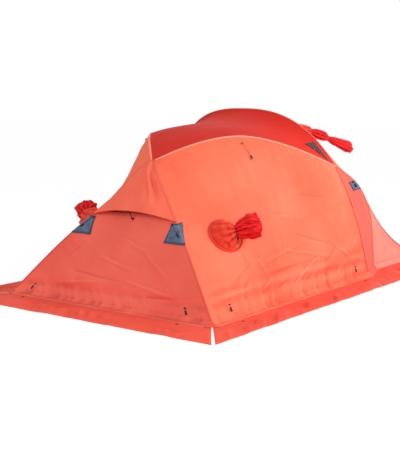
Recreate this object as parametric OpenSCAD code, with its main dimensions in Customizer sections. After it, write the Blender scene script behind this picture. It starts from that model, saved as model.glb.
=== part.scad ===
// Expedition tent: two crossing long poles and one leaning hoop under a fly
// sheet with snow skirts, two hoods, three vent sleeves, a front vestibule
// and an inner tent. +X points to the entrance, +Z up, origin on the ground.

/* [Tent body] */
// Distance from the back hem line to the origin
back_x = 1080; // [1040:10:1120]
// Half the width between the pole feet of the sleeping area
side_y = 900; // [860:10:940]
// Distance from the origin to the feet of the hoop
hoop_x = 1085; // [1050:5:1120]
// Height of the top of the hoop
hoop_h = 1344; // [1310:2:1380]
// Backward lean of the hoop, as run over rise
hoop_lean = 0.37; // [0.34:0.01:0.4]
// Squareness of the hoop's arch, where 2 is an ellipse
hoop_power = 2.6; // [2.4:0.05:2.8]
// Place on the hoop where the long poles cross it, from 0 at its top to 90 at the ground
cross_angle = 60.4; // [59.4:0.2:62]
// Height of the hem line above the ground
hem_z = 36; // [30:1:42]

/* [Long poles] */
// Distance from the origin back to the point where the long poles cross
peak_x = 567; // [540:1:600]
// Height of that crossing
peak_z = 986; // [950:2:1020]
// Height of the long poles' middle bend over the roof
arc_z = 1159; // [1130:1:1190]
// Half the distance between the long poles over the roof
arc_y = 433; // [410:1:455]
// Distance from the origin to the front feet of the long poles
front_x = 1440; // [1410:5:1470]
// Half the width between those front feet
front_y = 776; // [750:2:800]
// Height of the front bend of the long poles
bend_z = 567; // [540:1:600]

/* [Vestibule] */
// Distance from the origin to the front edge of the vestibule
porch_x = 2200; // [2150:10:2240]
// Height of the vestibule's front halfway out
porch_mid_z = 291; // [280:1:300]
// Width of the vestibule door
door_w = 900; // [800:10:1000]

/* [Poles] */
// Outer diameter of every pole
pole_d = 9.5; // [8.5:0.25:10]
// Wall of the pole tubes
pole_wall = 0.7; // [0.6:0.05:0.9]
// Distance between the centre lines of two poles where they cross
layer_gap = 12; // [11.5:0.25:13]

/* [Cloth] */
// Thickness of the fly and inner cloth
cloth_t = 1.5; // [1.2:0.1:1.8]
// Room between a pole and the cloth over it
cloth_gap = 4.5; // [4.2:0.1:5.5]
// Gap between two panels at a seam
seam = 0.4; // [0.3:0.05:0.6]
// Distance from the poles' middle line in to the inner tent
inner_gap = 70; // [60:2:80]
// Width of the side skirts on the ground
side_skirt_w = 250; // [230:10:280]
// Width of the back skirt on the ground
back_skirt_w = 336; // [300:12:360]
// Run of the cloth from the hem line down to the skirt
riser_w = 60; // [50:2:70]

/* [Fittings] */
// Diameter of the cords
cord_d = 3; // [2.5:0.25:3.5]
// Diameter of the barrel toggles
toggle_d = 12; // [11:0.5:14]
// Length of the barrel toggles
toggle_l = 18; // [15:1:20]
// Free length of the tension cords at the hem
hem_cord_l = 40; // [36:1:44]
// Free length of the tension cords on the back corner patches
patch_cord_l = 110; // [100:2:118]
// Free length of the tension cords on the front patches
front_cord_l = 60; // [52:1:66]
// Free length of the tension cords beside the roof
arc_cord_l = 130; // [120:2:140]
// Inner radius of the peg eyelets
eyelet_r = 6; // [5:0.25:7]
// Radius of the side vent sleeves where they leave the cloth
side_sleeve_r = 80; // [74:1:86]
// Radius of the front vent sleeve where it leaves the cloth
front_sleeve_r = 48; // [42:1:52]

/* [Hidden] */
pole_r = pole_d / 2;
layer = layer_gap / 2;
fly_low = layer + pole_r + cloth_gap;
fly_top = fly_low + cloth_t;
fit = 0.3;
radian = 180 / PI;
hood_low = fly_top + 3.2 * fit;
grid = 12;
arc_grid = 20;
leg_grid = 18;
hoop_grid = 24;
trim = seam / 1000;

// ---- helpers ----
function mix(a, b, t) = a + (b - a) * t;
function unit(v) = v / norm(v);
function flip_y(p) = [p.x, -p.y, p.z];
function steps(n, lo = 0, hi = 1) = [for (i = [0 : n]) mix(lo, hi, i / n)];

// Outward direction of the shell, away from a line on the ground along X
spine_back = -500;
spine_front = 900;
function outward(p) = unit([p.x - min(max(p.x, spine_back), spine_front), p.y, p.z]);
function lift(p, d) = p + outward(p) * d;

// Catmull-Rom curve through a list of stations, t in station numbers
function catmull(a, b, c, d, t) =
    ((2 * b) + (c - a) * t + (2 * a - 5 * b + 4 * c - d) * t * t
        + (3 * b - a - 3 * c + d) * t * t * t) / 2;
function station(s, i) = i < 0 ? 2 * s[0] - s[1]
    : i >= len(s) ? 2 * s[len(s) - 1] - s[len(s) - 2] : s[i];
function along(s, t) = let (i = min(floor(t), len(s) - 2))
    catmull(station(s, i - 1), s[i], s[i + 1], station(s, i + 2), t - i);

// ---- pole lines ----
// Hoop: a squared arch in a leaning plane, place 0 at the top, + to the near side
hoop_foot = 90 * pow(acos(pow(hem_z / hoop_h, hoop_power / 2)) / 90, 2 / hoop_power);
function hoop_at(a) = let (b = 90 * pow(abs(a) / 90, hoop_power / 2),
        y = -side_y * sign(a) * pow(sin(b), 2 / hoop_power),
        z = hoop_h * pow(cos(b), 2 / hoop_power))
    [hoop_x - hoop_lean * (z - hem_z), y, z];
// Long pole: from the back foot on the far side to the front foot on the near side
foot_station = [-back_x, side_y, hem_z];
peak_station = [-peak_x, 0, peak_z];
leg_bow = 18;
bend_in = 148;
long_line = [foot_station, lift(mix(foot_station, peak_station, 0.36), leg_bow),
    mix(foot_station, peak_station, 0.72), peak_station, [-38, -arc_y, arc_z],
    hoop_at(cross_angle), [front_x - bend_in, -front_y, bend_z], [front_x, -front_y, hem_z]];
peak_t = 3;
cross_t = 5;
bend_t = 6;
long_end = 7;
function near_pole(t) = along(long_line, t);
function far_pole(t) = flip_y(near_pole(t));

// Frame with its z axis along dir
module aim(p, dir) {
    translate(p)
        rotate([0, acos(dir.z / norm(dir)), atan2(dir.y, dir.x)])
            children();
}

// Frame with x along dir_x and z near dir_z
function frame_at(p, dir_x, dir_z) =
    let (ex = unit(dir_x), ey = unit(cross(dir_z, ex)), ez = cross(ex, ey))
    [[ex.x, ey.x, ez.x, p.x], [ex.y, ey.y, ez.y, p.y], [ex.z, ey.z, ez.z, p.z], [0, 0, 0, 1]];

// Half the gap between two tube sections inside a ferrule
joint_gap = 0.9;
// One tube section, bent to the round arc through three points, or straight where they
// lie in a line
straight_r = 40000;
module bent_tube(a, m, b) {
    n = cross(m - a, b - a);
    bend_r = norm(m - a) * norm(b - m) * norm(b - a) / (2 * norm(n));
    if (bend_r > straight_r)
        aim(a, b - a)
            translate([0, 0, joint_gap])
                difference() {
                    cylinder(h = norm(b - a) - 2 * joint_gap, r = pole_r, $fn = 24);
                    translate([0, 0, -1])
                        cylinder(h = norm(b - a) + 2, r = pole_r - pole_wall, $fn = 24);
                }
    else {
        ab = m - a;
        ac = b - a;
        c = a + (cross(n, ab) * (ac * ac) + cross(ac, n) * (ab * ab)) / (2 * (n * n));
        ex = unit(a - c);
        ez = unit(n);
        ey = cross(ez, ex);
        sweep = atan2((b - c) * ey, (b - c) * ex);
        trim_a = joint_gap / bend_r * radian;
        multmatrix([[ex.x, ey.x, ez.x, c.x], [ex.y, ey.y, ez.y, c.y], [ex.z, ey.z, ez.z, c.z],
                [0, 0, 0, 1]])
            rotate([0, 0, trim_a])
                rotate_extrude(angle = sweep - 2 * trim_a, $fn = 720)
                    translate([bend_r, 0])
                        difference() {
                            circle(pole_r, $fn = 24);
                            circle(pole_r - pole_wall, $fn = 24);
                        }
    }
}

// A pole as a row of tube sections through the points of a path, two steps per section
function last(path) = len(path) - 1;
module tube_row(path) {
    for (i = [0 : 2 : last(path) - 2])
        bent_tube(path[i], path[i + 1], path[i + 2]);
}

// Steps of a path: the crossings fall in the middle of a section, clear of the ferrules
function path_steps(marks, counts) = concat([marks[0]],
    [for (i = [0 : len(counts) - 1]) each [for (k = [1 : counts[i]])
        mix(marks[i], marks[i + 1], k / counts[i])]]);
leg_count = 9;
roof_count = 10;
long_steps = path_steps([0, peak_t, cross_t, long_end], [leg_count, roof_count, leg_count]);
post_count = 5;
arch_count = 16;
hoop_steps = path_steps([-hoop_foot, -cross_angle, cross_angle, hoop_foot],
    [post_count, arch_count, post_count]);

// Centre lines of the three poles, on the inner and outer layer where they cross
swap = 0.2;
function a_layer(t) = let (s = (abs(t - peak_t) - swap) / (cross_t - peak_t - 2 * swap))
    layer * cos(min(max(s, 0), 1) * 180);
path_a = [for (t = long_steps) lift(far_pole(t), a_layer(t))];
path_b = [for (t = long_steps) lift(near_pole(t), -layer)];
path_hoop = [for (a = hoop_steps) lift(hoop_at(a), layer)];

// Directions of a round arc through three points: at the middle one and at both ends
function mid_dir(a, m, b) = let (p = m - a, q = b - m) unit(p * (q * q) + q * (p * p));
function across(t, chord) = let (c = unit(chord)) 2 * (t * c) * c - t;
function start_dir(a, m, b) = across(mid_dir(a, m, b), m - a);
function end_dir(a, m, b) = across(mid_dir(a, m, b), b - m);
function path_dir(path, i) = mid_dir(path[i - 1], path[i], path[i + 1]);

// ---- sheets ----
function tri_pair(a, b, c, d) = [[a, b, c], [a, c, d]];
function turned(f, keep) = keep ? f : [for (t = f) [t[2], t[1], t[0]]];

// Closed sheet between two grids of points of the same size
module sheet(low, top) {
    rows = len(low);
    cols = len(low[0]);
    base = rows * cols;
    i0 = floor(rows / 2);
    j0 = floor(cols / 2);
    side = cross(low[i0][j0] - low[i0 - 1][j0], low[i0][j0] - low[i0][j0 - 1])
        * (top[i0][j0] - low[i0][j0]) > 0;
    rim = concat([for (j = [0 : cols - 1]) j], [for (i = [1 : rows - 1]) i * cols + cols - 1],
        [for (j = [cols - 2 : -1 : 0]) (rows - 1) * cols + j],
        [for (i = [rows - 2 : -1 : 1]) i * cols]);
    upper = [for (i = [0 : rows - 2], j = [0 : cols - 2])
        let (a = base + i * cols + j)
        each tri_pair(a, a + 1, a + cols + 1, a + cols)];
    lower = [for (i = [0 : rows - 2], j = [0 : cols - 2])
        let (a = i * cols + j)
        each tri_pair(a, a + cols, a + cols + 1, a + 1)];
    walls = [for (k = [0 : len(rim) - 1])
        let (a = rim[k], b = rim[(k + 1) % len(rim)])
        each tri_pair(a, b, b + base, a + base)];
    polyhedron(concat([for (r = low) each r], [for (r = top) each r]),
        turned(concat(upper, lower, walls), side), convexity = 6);
}

// Point of a surface hung between four border lines
function coons(u, v, low, high, left, right, w) =
    mix(low(u), high(u), v) + mix(left(v), right(v), w)
        - mix(mix(low(0), high(0), v), mix(low(1), high(1), v), w);

// Hem corners
back_corner = [-back_x, -side_y, hem_z];
hoop_corner = [hoop_x, -side_y, hem_z];
front_corner = [front_x, -front_y, hem_z];
porch_corner = [porch_x, -front_y, hem_z];

// Places on the long poles, in station numbers
lip_t = 1.6;
under_t = 1.7;
front_lip_t = 5.42;
front_under_t = 5.3;

// Side: back corner, peak, crossing on the hoop, hoop foot
function side_at(u, v) = coons(u, v,
    function (s) mix(back_corner, hoop_corner, s),
    function (s) near_pole(mix(peak_t, cross_t, s)),
    function (s) far_pole(peak_t * s),
    function (s) hoop_at(mix(hoop_foot, cross_angle, s)), u);
// Roof: from the peak to the hoop, near to far
roof_fall = 3.6;
function roof_at(u, v) = coons(u, v,
    function (s) near_pole(mix(peak_t, cross_t, s)),
    function (s) far_pole(mix(peak_t, cross_t, s)),
    function (s) peak_station,
    function (s) hoop_at(mix(cross_angle, -cross_angle, s)), pow(u, roof_fall));
// Back: from the hem up under the hood
function back_at(u, v) = coons(u, v,
    function (s) mix(back_corner, flip_y(back_corner), s),
    function (s) mix(far_pole(under_t), near_pole(under_t), s),
    function (s) far_pole(under_t * s),
    function (s) near_pole(under_t * s), u);
// Arched lip of a hood between two pole points
function lip_arc(a, b, mid, s) = mix(mix(a, mid, s), mix(mid, b, s), s);
back_lip_mid = [-880, 0, 700];
function back_hood_at(u, v) = coons(u, v,
    function (s) far_pole(mix(peak_t, lip_t, s)),
    function (s) near_pole(mix(peak_t, lip_t, s)),
    function (s) peak_station,
    function (s) lip_arc(far_pole(lip_t), near_pole(lip_t), back_lip_mid, s), u);
front_lip_mid = [1190, 0, 860];
function front_hood_at(u, v) = coons(u, v,
    function (s) near_pole(mix(cross_t, front_lip_t, s)),
    function (s) far_pole(mix(cross_t, front_lip_t, s)),
    function (s) hoop_at(mix(cross_angle, -cross_angle, s)),
    function (s) lip_arc(near_pole(front_lip_t), far_pole(front_lip_t), front_lip_mid, s), u);
// Band between the hoop's leg and the long pole's front leg
function band_at(u, v) = coons(u, v,
    function (s) hoop_at(mix(cross_angle, hoop_foot, s)),
    function (s) near_pole(mix(cross_t, long_end, s)),
    function (s) near_pole(cross_t),
    function (s) mix(hoop_corner, front_corner, s), u);
// Vestibule: roof under the lip, sloping front, and the wings beside it
function porch_roof_at(u, v) = coons(u, v,
    function (s) near_pole(mix(front_under_t, bend_t, s)),
    function (s) far_pole(mix(front_under_t, bend_t, s)),
    function (s) mix(near_pole(front_under_t), far_pole(front_under_t), s),
    function (s) mix(near_pole(bend_t), far_pole(bend_t), s), u);
// The sloping front follows a hollow arc through the bend, a middle point and the front edge
porch_top = near_pole(bend_t);
porch_mid = [mix(porch_top.x, porch_x, 0.37), -front_y, porch_mid_z];
porch_edge = [porch_x, -front_y, hem_z];
function cross_xz(a, b) = a.x * b.z - a.z * b.x;
function centre_xz(a, b, c) = let (p = b - a, q = c - a, k = 2 * cross_xz(p, q),
        pp = p.x * p.x + p.z * p.z, qq = q.x * q.x + q.z * q.z)
    [a.x + (q.z * pp - p.z * qq) / k, 0, a.z + (p.x * qq - q.x * pp) / k];
porch_centre = centre_xz(porch_top, porch_mid, porch_edge);
function porch_angle(p) = atan2(p.z - porch_centre.z, p.x - porch_centre.x);
porch_r = norm([porch_edge.x - porch_centre.x, 0, porch_edge.z - porch_centre.z]);
porch_a0 = porch_angle(porch_top);
porch_sweep = porch_angle(porch_edge) - porch_a0;
function porch_arc(s) = let (a = porch_a0 + porch_sweep * s)
    [porch_centre.x + porch_r * cos(a), -front_y + (porch_top.y + front_y) * (1 - s),
        porch_centre.z + porch_r * sin(a)];
function wing_at(u, v) = coons(u, v,
    function (s) mix(front_corner, porch_corner, s),
    function (s) porch_arc(s),
    function (s) near_pole(mix(long_end, bend_t, s)),
    function (s) porch_corner, u);

// Panel of cloth on one of the surfaces above, d from the poles' middle line
module panel(at, us, vs, d, t = cloth_t) {
    low = [for (u = us) [for (v = vs) lift(at(u, v), d)]];
    top = [for (u = us) [for (v = vs) lift(at(u, v), d + t)]];
    sheet(low, top);
}

// The same with a riser strip from the hem at v = 0 down onto the skirt
skirt_t = 1.5;
riser_z = skirt_t + fit;
function foot_row(at, us, out, z) = [for (u = us)
    let (p = at(u, 0)) [p.x + out.x * riser_w, p.y + out.y * riser_w, z]];
module hemmed_panel(at, us, vs, out) {
    low = concat([foot_row(at, us, out, riser_z)],
        [for (v = vs) [for (u = us) lift(at(u, v), fly_low)]]);
    top = concat([foot_row(at, us, out, riser_z + cloth_t)],
        [for (v = vs) [for (u = us) lift(at(u, v), fly_top)]]);
    sheet(low, top);
}
seam_steps = steps(grid, trim, 1 - trim);
arc_steps = steps(arc_grid, trim, 1 - trim);
leg_steps = steps(leg_grid, trim, 1 - trim);
hoop_grid_steps = steps(hoop_grid, trim, 1 - trim);
tip_steps = steps(arc_grid, 0.012, 1 - trim);
hood_steps = steps(grid, 0.02, 1 - trim);
band_steps = steps(grid, trim, 0.985);

// ---- vent sleeves ----
// Where a sleeve sits on its panel, and where its mouth points
side_sleeve_uv = [0.215, 0.385];
side_sleeve = side_at(side_sleeve_uv[0], side_sleeve_uv[1]);
side_mouth = side_sleeve + [132, -205, 82];
front_sleeve_uv = [0.2, 0.26];
front_sleeve = front_hood_at(front_sleeve_uv[0], front_sleeve_uv[1]);
front_mouth = front_sleeve + [780, -90, -170];
function normal_at(at, u, v) = let (
        n = unit(cross(at(u + 0.02, v) - at(u - 0.02, v), at(u, v + 0.02) - at(u, v - 0.02))))
    n * sign(n * outward(at(u, v)));
side_normal = normal_at(function (u, v) side_at(u, v), side_sleeve_uv[0], side_sleeve_uv[1]);
front_normal = normal_at(function (u, v) front_hood_at(u, v), front_sleeve_uv[0],
    front_sleeve_uv[1]);

// How far the rounded cloth falls away under a sleeve's flat base ring
function base_dip(at, u, v, n, r) = let (c = at(u, v), d = 0.02,
        ru = r * d / norm(at(u + d, v) - c), rv = r * d / norm(at(u, v + d) - c))
    min([for (a = [0 : 30 : 330]) n * (c - at(u + ru * cos(a), v + rv * sin(a)))]);
front_dip = base_dip(function (u, v) front_hood_at(u, v), front_sleeve_uv[0], front_sleeve_uv[1],
    front_normal, front_sleeve_r);

// Cloth tube from a round base on the panel over a throat to a flared mouth.
// A sleeve is [base point, panel normal, mouth point, lift, base, throat and mouth radius]
side_vent = [side_sleeve, side_normal, side_mouth, fly_top + 1.4, side_sleeve_r, 36, 88];
hood_rise = (hood_low + cloth_t) * (outward(front_sleeve) * front_normal);
front_vent = [front_sleeve, front_normal, front_mouth, hood_rise + fit - front_dip,
    front_sleeve_r, 24, 34];
function sleeve_axis(k, s) =
    lip_arc(k[0] + k[1] * k[3], k[2], k[0] + k[1] * (k[3] + 70), s);
function sleeve_dir(k, s) = s == 0 ? k[1] : unit(sleeve_axis(k, s + 0.02) - sleeve_axis(k, s - 0.02));
sleeve_sides = 16;
function sleeve_ring(k, s, r) = let (c = sleeve_axis(k, s), dir = sleeve_dir(k, s),
        ex = unit(cross([0, 0, 1], dir)), ey = cross(dir, ex))
    [for (i = [0 : sleeve_sides - 1]) let (a = i * 360 / sleeve_sides)
        c + ex * (r * cos(a)) + ey * (r * sin(a))];
throat_s = 0.5;
function sleeve_radius(k, s) = s < throat_s
    ? mix(k[4], k[5], sin(s / throat_s * 90))
    : mix(k[5], k[6], 1 - cos((s - throat_s) / (1 - throat_s) * 90));
module sleeve(k) {
    rings = steps(8);
    n = sleeve_sides;
    rows = len(rings);
    lining_0 = rows * n;
    end = (rows - 1) * n;
    outer = [for (s = rings) each sleeve_ring(k, s, sleeve_radius(k, s))];
    inner = [for (s = rings) each sleeve_ring(k, s, sleeve_radius(k, s) - cloth_t)];
    skin = [for (i = [0 : rows - 2], j = [0 : n - 1])
        let (a = i * n + j, b = i * n + (j + 1) % n)
        each tri_pair(a, b, b + n, a + n)];
    lining = [for (i = [0 : rows - 2], j = [0 : n - 1])
        let (a = lining_0 + i * n + j, b = lining_0 + i * n + (j + 1) % n)
        each tri_pair(a, a + n, b + n, b)];
    lips = [for (j = [0 : n - 1])
        let (m = (j + 1) % n)
        each concat(tri_pair(j, lining_0 + j, lining_0 + m, m),
            tri_pair(end + j, end + m, lining_0 + end + m, lining_0 + end + j))];
    polyhedron(concat(outer, inner), turned(concat(skin, lining, lips), false), convexity = 6);
}

// Drawcord ring round the throat, with a straight tail that carries the cord lock
function draw_r(k) = k[5] + cord_d / 2 + 1.5 * fit;
tail_l = 55;
tail_free = 8;
function tail_top(k) = let (d = sleeve_dir(k, throat_s), side = unit(cross([0, 0, 1], d)),
        down = -cross(d, side))
    sleeve_axis(k, throat_s) + down * (draw_r(k) + 0.4 * cord_d);
module drawcord(k) {
    aim(sleeve_axis(k, throat_s), sleeve_dir(k, throat_s))
        rotate_extrude($fn = 96)
            translate([draw_r(k), 0])
                circle(cord_d / 2, $fn = 24);
    translate(tail_top(k) - [0, 0, tail_l])
        cylinder(h = tail_l, r = cord_d / 2, $fn = 24);
}
module lock_on_tail(k) {
    translate(tail_top(k) - [0, 0, toggle_l + tail_free])
        barrel();
}

// ---- tension cords and toggles ----
// Barrel toggle along +Z with a bore for the cord
module barrel() {
    difference() {
        cylinder(h = toggle_l, r = toggle_d / 2, $fn = 48);
        translate([0, 0, -1])
            cylinder(h = toggle_l + 2, r = cord_d / 2 + 0.06, $fn = 48);
    }
}
cord_z = toggle_d / 2 + fit;
keeper = [6, 12, cord_z + 4];
// Short cord between two sewn keepers, x along the cord, z off the cloth; a cord over
// rounded cloth stands up by rise
module tension_cord(l, rise) {
    for (x = [-keeper.x, l])
        translate([x, -keeper.y / 2, fit])
            cube(keeper + [0, 0, rise]);
    translate([0, 0, cord_z + rise])
        rotate([0, 90, 0])
            cylinder(h = l, r = cord_d / 2, $fn = 24);
}
toggle_end = 4;
patch_rise = 1;
arc_rise = 3;
module tension_toggle(l, rise) {
    translate([l - toggle_l - toggle_end, 0, cord_z + rise])
        rotate([0, 90, 0])
            barrel();
}

// Point on the flat facets of a panel
function cell(s, x, i = 0) = i >= len(s) - 2 || x < s[i + 1] ? i : cell(s, x, i + 1);
function on_cloth(at, us, vs, u, v, d) = let (i = cell(us, u), j = cell(vs, v),
        fu = (u - us[i]) / (us[i + 1] - us[i]), fv = (v - vs[j]) / (vs[j + 1] - vs[j]),
        a = lift(at(us[i], vs[j]), d), c = lift(at(us[i + 1], vs[j + 1]), d),
        b = fu > fv ? lift(at(us[i + 1], vs[j]), d) : lift(at(us[i], vs[j + 1]), d))
    fu > fv ? a + (b - a) * fu + (c - b) * fv : a + (b - a) * fv + (c - b) * fu;
function on_side(u, v, d) = on_cloth(function (s, t) side_at(s, t), arc_steps, leg_steps, u, v, d);
function on_back(u, v, d) = on_cloth(function (s, t) back_at(s, t), seam_steps, seam_steps, u, v, d);
function on_band(u, v, d) =
    on_cloth(function (s, t) band_at(1 - t, s), band_steps, seam_steps, v, 1 - u, d);
function on_porch(u, v, d) =
    on_cloth(function (s, t) porch_roof_at(s, t), seam_steps, seam_steps, u, v, d);

// Frame of a tension cord: a point on the cloth, the cord's run, the cloth's normal
nudge = 0.004;
function on_panel(on, u, v, along_u, along_v, d) =
    let (p = on(u, v, d), mu = u + along_u / 2, mv = v + along_v / 2, m = on(mu, mv, d),
        n = unit(cross(on(mu + nudge, mv, d) - m, on(mu, mv + nudge, d) - m)))
    frame_at(p, on(u + along_u, v + along_v, d) - p, n * sign(n * outward(p)));
patch_t = 0.8;
patch_low = fly_top + 4 * fit;
patch_top = patch_low + patch_t + fit;
cord_low = fly_top + 2 * fit;
arc_low = cord_low + 0.7; // the keepers stand clear of the rounded cloth
back_patch_frame =
    on_panel(function (u, v, d) on_back(u, v, d), 0.055, 0.9, -0.03, -0.16, patch_top);
front_patch_frame =
    on_panel(function (u, v, d) on_band(u, v, d), 0.23, 0.72, 0.04, 0, patch_top);
arc_frame = on_panel(function (u, v, d) on_side(u, v, d), 0.477, 0.935, 0.02, -0.13, arc_low);
// Hem cords run down the cloth to the hem
hem_v = 0.045;
back_hem_v = 0.075;
function side_hem_frame(x) = on_panel(function (u, v, d) on_side(u, v, d),
    (x + back_x) / (hoop_x + back_x), hem_v, 0, -hem_v / 2, cord_low);
function back_hem_frame(y) = on_panel(function (u, v, d) on_back(u, v, d),
    (y + side_y) / (2 * side_y), back_hem_v, 0, -back_hem_v / 2, cord_low);
hem_xs = [-850, 880];
hem_ys = [-700, 740];

// ---- poles ----
module pole_a() {
    color("silver")
        tube_row(path_a);
}
module pole_b() {
    color("silver")
        tube_row(path_b);
}
module pole_hoop() {
    color("gold")
        tube_row(path_hoop);
}
ferrule_l = 18;
ferrule_wall = 0.5;
long_fit = 1;
hoop_fit = 0.4;
module ferrules(path, gap) {
    for (i = [2 : 2 : last(path) - 2])
        aim(path[i], end_dir(path[i - 2], path[i - 1], path[i])
            + start_dir(path[i], path[i + 1], path[i + 2]))
            difference() {
                cylinder(h = ferrule_l, r = pole_r + gap + ferrule_wall, center = true, $fn = 36);
                cylinder(h = ferrule_l + 2, r = pole_r + gap, center = true, $fn = 36);
            }
}
module pole_ferrules() {
    color("dimgray") {
        ferrules(path_a, long_fit);
        ferrules(path_b, long_fit);
        ferrules(path_hoop, hoop_fit);
    }
}
// Foot of a pole: where it ends and the way its tip points
feet = [for (path = [path_a, path_b, path_hoop]) let (n = last(path)) each [
    [path[0], -start_dir(path[0], path[1], path[2])],
    [path[n], end_dir(path[n - 2], path[n - 1], path[n])]]];
tip_l = 14;
pin_l = 13;
pin_r = 2.6;
insert_l = 10;
module pole_tip(foot) {
    aim(foot[0], foot[1]) {
        translate([0, 0, joint_gap])
            cylinder(h = tip_l - joint_gap, r1 = pole_r, r2 = 3.4, $fn = 36);
        translate([0, 0, tip_l - 1])
            cylinder(h = pin_l + 1, r = pin_r, $fn = 36);
        translate([0, 0, -insert_l])
            cylinder(h = insert_l + joint_gap + 1, r = pole_r - pole_wall - fit, $fn = 36);
    }
}
ring_w = 4;
ring_t = 2.5;
module grommet(foot) {
    aim(foot[0], foot[1])
        translate([0, 0, tip_l + 2 * fit])
            rotate_extrude($fn = 48)
                translate([pin_r + 0.2, 0])
                    square([ring_w, ring_t]);
}
module pole_tips() {
    color("black")
        for (f = feet)
            pole_tip(f);
}
module foot_grommets() {
    color("goldenrod")
        for (f = feet)
            grommet(f);
}

// Snap clip between two crossing poles, grooved for both
clip_r = 11;
clip_fit = 0.6;
module clip(low_path, i, high_path, j) {
    low = low_path[i];
    high = high_path[j];
    difference() {
        aim((low + high) / 2, high - low)
            cylinder(h = 2 * layer + 2, r = clip_r, center = true, $fn = 48);
        aim(low, path_dir(low_path, i))
            cylinder(h = 60, r = pole_r + clip_fit, center = true, $fn = 36);
        aim(high, path_dir(high_path, j))
            cylinder(h = 60, r = pole_r + clip_fit, center = true, $fn = 36);
    }
}
module crossing_clips() {
    color("black") {
        clip(path_b, leg_count, path_a, leg_count);
        clip(path_b, leg_count + roof_count, path_hoop, post_count + arch_count);
        clip(path_a, leg_count + roof_count, path_hoop, post_count);
    }
}
// Ties that hold the fly to the poles: a ring round the pole and a web up to the cloth's ridge
tie_w = 8;
tie_gap = 1.1;
tie_wall = 0.5;
tie_fit = 0.4;
web_t = 0.8;
long_ties = [1, 3, 11, 13, 15, 17, 27];
hoop_ties = [3, 7, 13, 19, 23];
module tie(path, i, d) {
    ring_r = pole_r + tie_fit;
    dir = path_dir(path, i);
    web = (fly_low - d) * norm(cross(unit(dir), outward(path[i]))) - tie_gap;
    multmatrix(frame_at(path[i], dir, outward(path[i])))
        rotate([0, 90, 0]) {
            difference() {
                cylinder(h = tie_w, r = ring_r + tie_wall, center = true, $fn = 36);
                cylinder(h = tie_w + 2, r = ring_r, center = true, $fn = 36);
            }
            translate([-web, -web_t / 2, -tie_w / 2])
                cube([web - ring_r - tie_wall / 2, web_t, tie_w]);
        }
}
module pole_ties() {
    color("black") {
        for (i = long_ties) {
            tie(path_a, i, a_layer(long_steps[i]));
            tie(path_b, i, -layer);
        }
        for (i = hoop_ties)
            tie(path_hoop, i, layer);
    }
}

// ---- fly ----
module side_panel_near() {
    color("coral")
        difference() {
            hemmed_panel(function (u, v) side_at(u, v), arc_steps, leg_steps, [0, -1]);
            aim(side_sleeve, side_normal)
                cylinder(h = 120, r = side_sleeve_r - 6, center = true, $fn = 48);
        }
}
module side_panel_far() {
    mirror([0, 1, 0])
        side_panel_near();
}
module roof_panel() {
    color("crimson")
        panel(function (u, v) roof_at(u, v), tip_steps, hoop_grid_steps, fly_low);
}
module back_panel() {
    color("indianred")
        hemmed_panel(function (u, v) back_at(u, v), seam_steps, seam_steps, [-1, 0]);
}
module back_hood() {
    color("salmon")
        panel(function (u, v) back_hood_at(u, v), hood_steps, seam_steps, hood_low);
}
module front_hood() {
    color("salmon")
        difference() {
            panel(function (u, v) front_hood_at(u, v), seam_steps, hoop_grid_steps, hood_low);
            aim(front_sleeve, front_normal)
                cylinder(h = 120, r = front_sleeve_r - 6, center = true, $fn = 48);
        }
}
module band_near() {
    color("indianred")
        hemmed_panel(function (u, v) band_at(1 - v, u), seam_steps, band_steps, [0, -1]);
}
module band_far() {
    mirror([0, 1, 0])
        band_near();
}

// ---- vestibule ----
module vestibule_roof() {
    color("pink")
        panel(function (u, v) porch_roof_at(u, v), seam_steps, seam_steps, fly_low);
}
module wing_near() {
    color("pink")
        hemmed_panel(function (v, u) wing_at(v, u), steps(grid, 0.006, 0.97), seam_steps, [0, -1]);
}
module wing_far() {
    mirror([0, 1, 0])
        wing_near();
}

// The sloping front is a hollow round shell; s runs along its arc from the bend
// It laps over the wings' top edges, which stand highest at wing_high along the arc
wing_high = 0.1;
porch_lap = 0.8;
porch_normal = let (a = porch_a0 + porch_sweep * wing_high) [-cos(a), 0, -sin(a)];
porch_d = fly_top * (outward(porch_arc(wing_high)) * porch_normal) + porch_lap;
porch_w = 2 * (front_y + fly_top);
porch_clear = 8;
porch_len = porch_r * abs(porch_sweep) / radian;
module porch_shell(s0, s1, half_w, d, t) {
    translate([porch_centre.x, half_w, porch_centre.z])
        rotate([90, 0, 0])
            rotate([0, 0, porch_a0 + porch_sweep * s0])
                rotate_extrude(angle = porch_sweep * (s1 - s0), $fn = 720)
                    translate([porch_r - d - t, 0])
                        square([t, 2 * half_w]);
}
door_gap = 1;
door_s0 = 0.09;
door_s1 = 0.93;
door_edge = door_gap / porch_len;
module vestibule_front() {
    color("mistyrose")
        difference() {
            porch_shell(porch_clear / porch_len, 1, porch_w / 2, porch_d, cloth_t);
            porch_shell(door_s0 - door_edge, door_s1 + door_edge, door_w / 2 + door_gap,
                porch_d - 5, cloth_t + 10);
        }
}
module vestibule_door() {
    color("lightpink")
        porch_shell(door_s0, door_s1, door_w / 2, porch_d, cloth_t);
}

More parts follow.
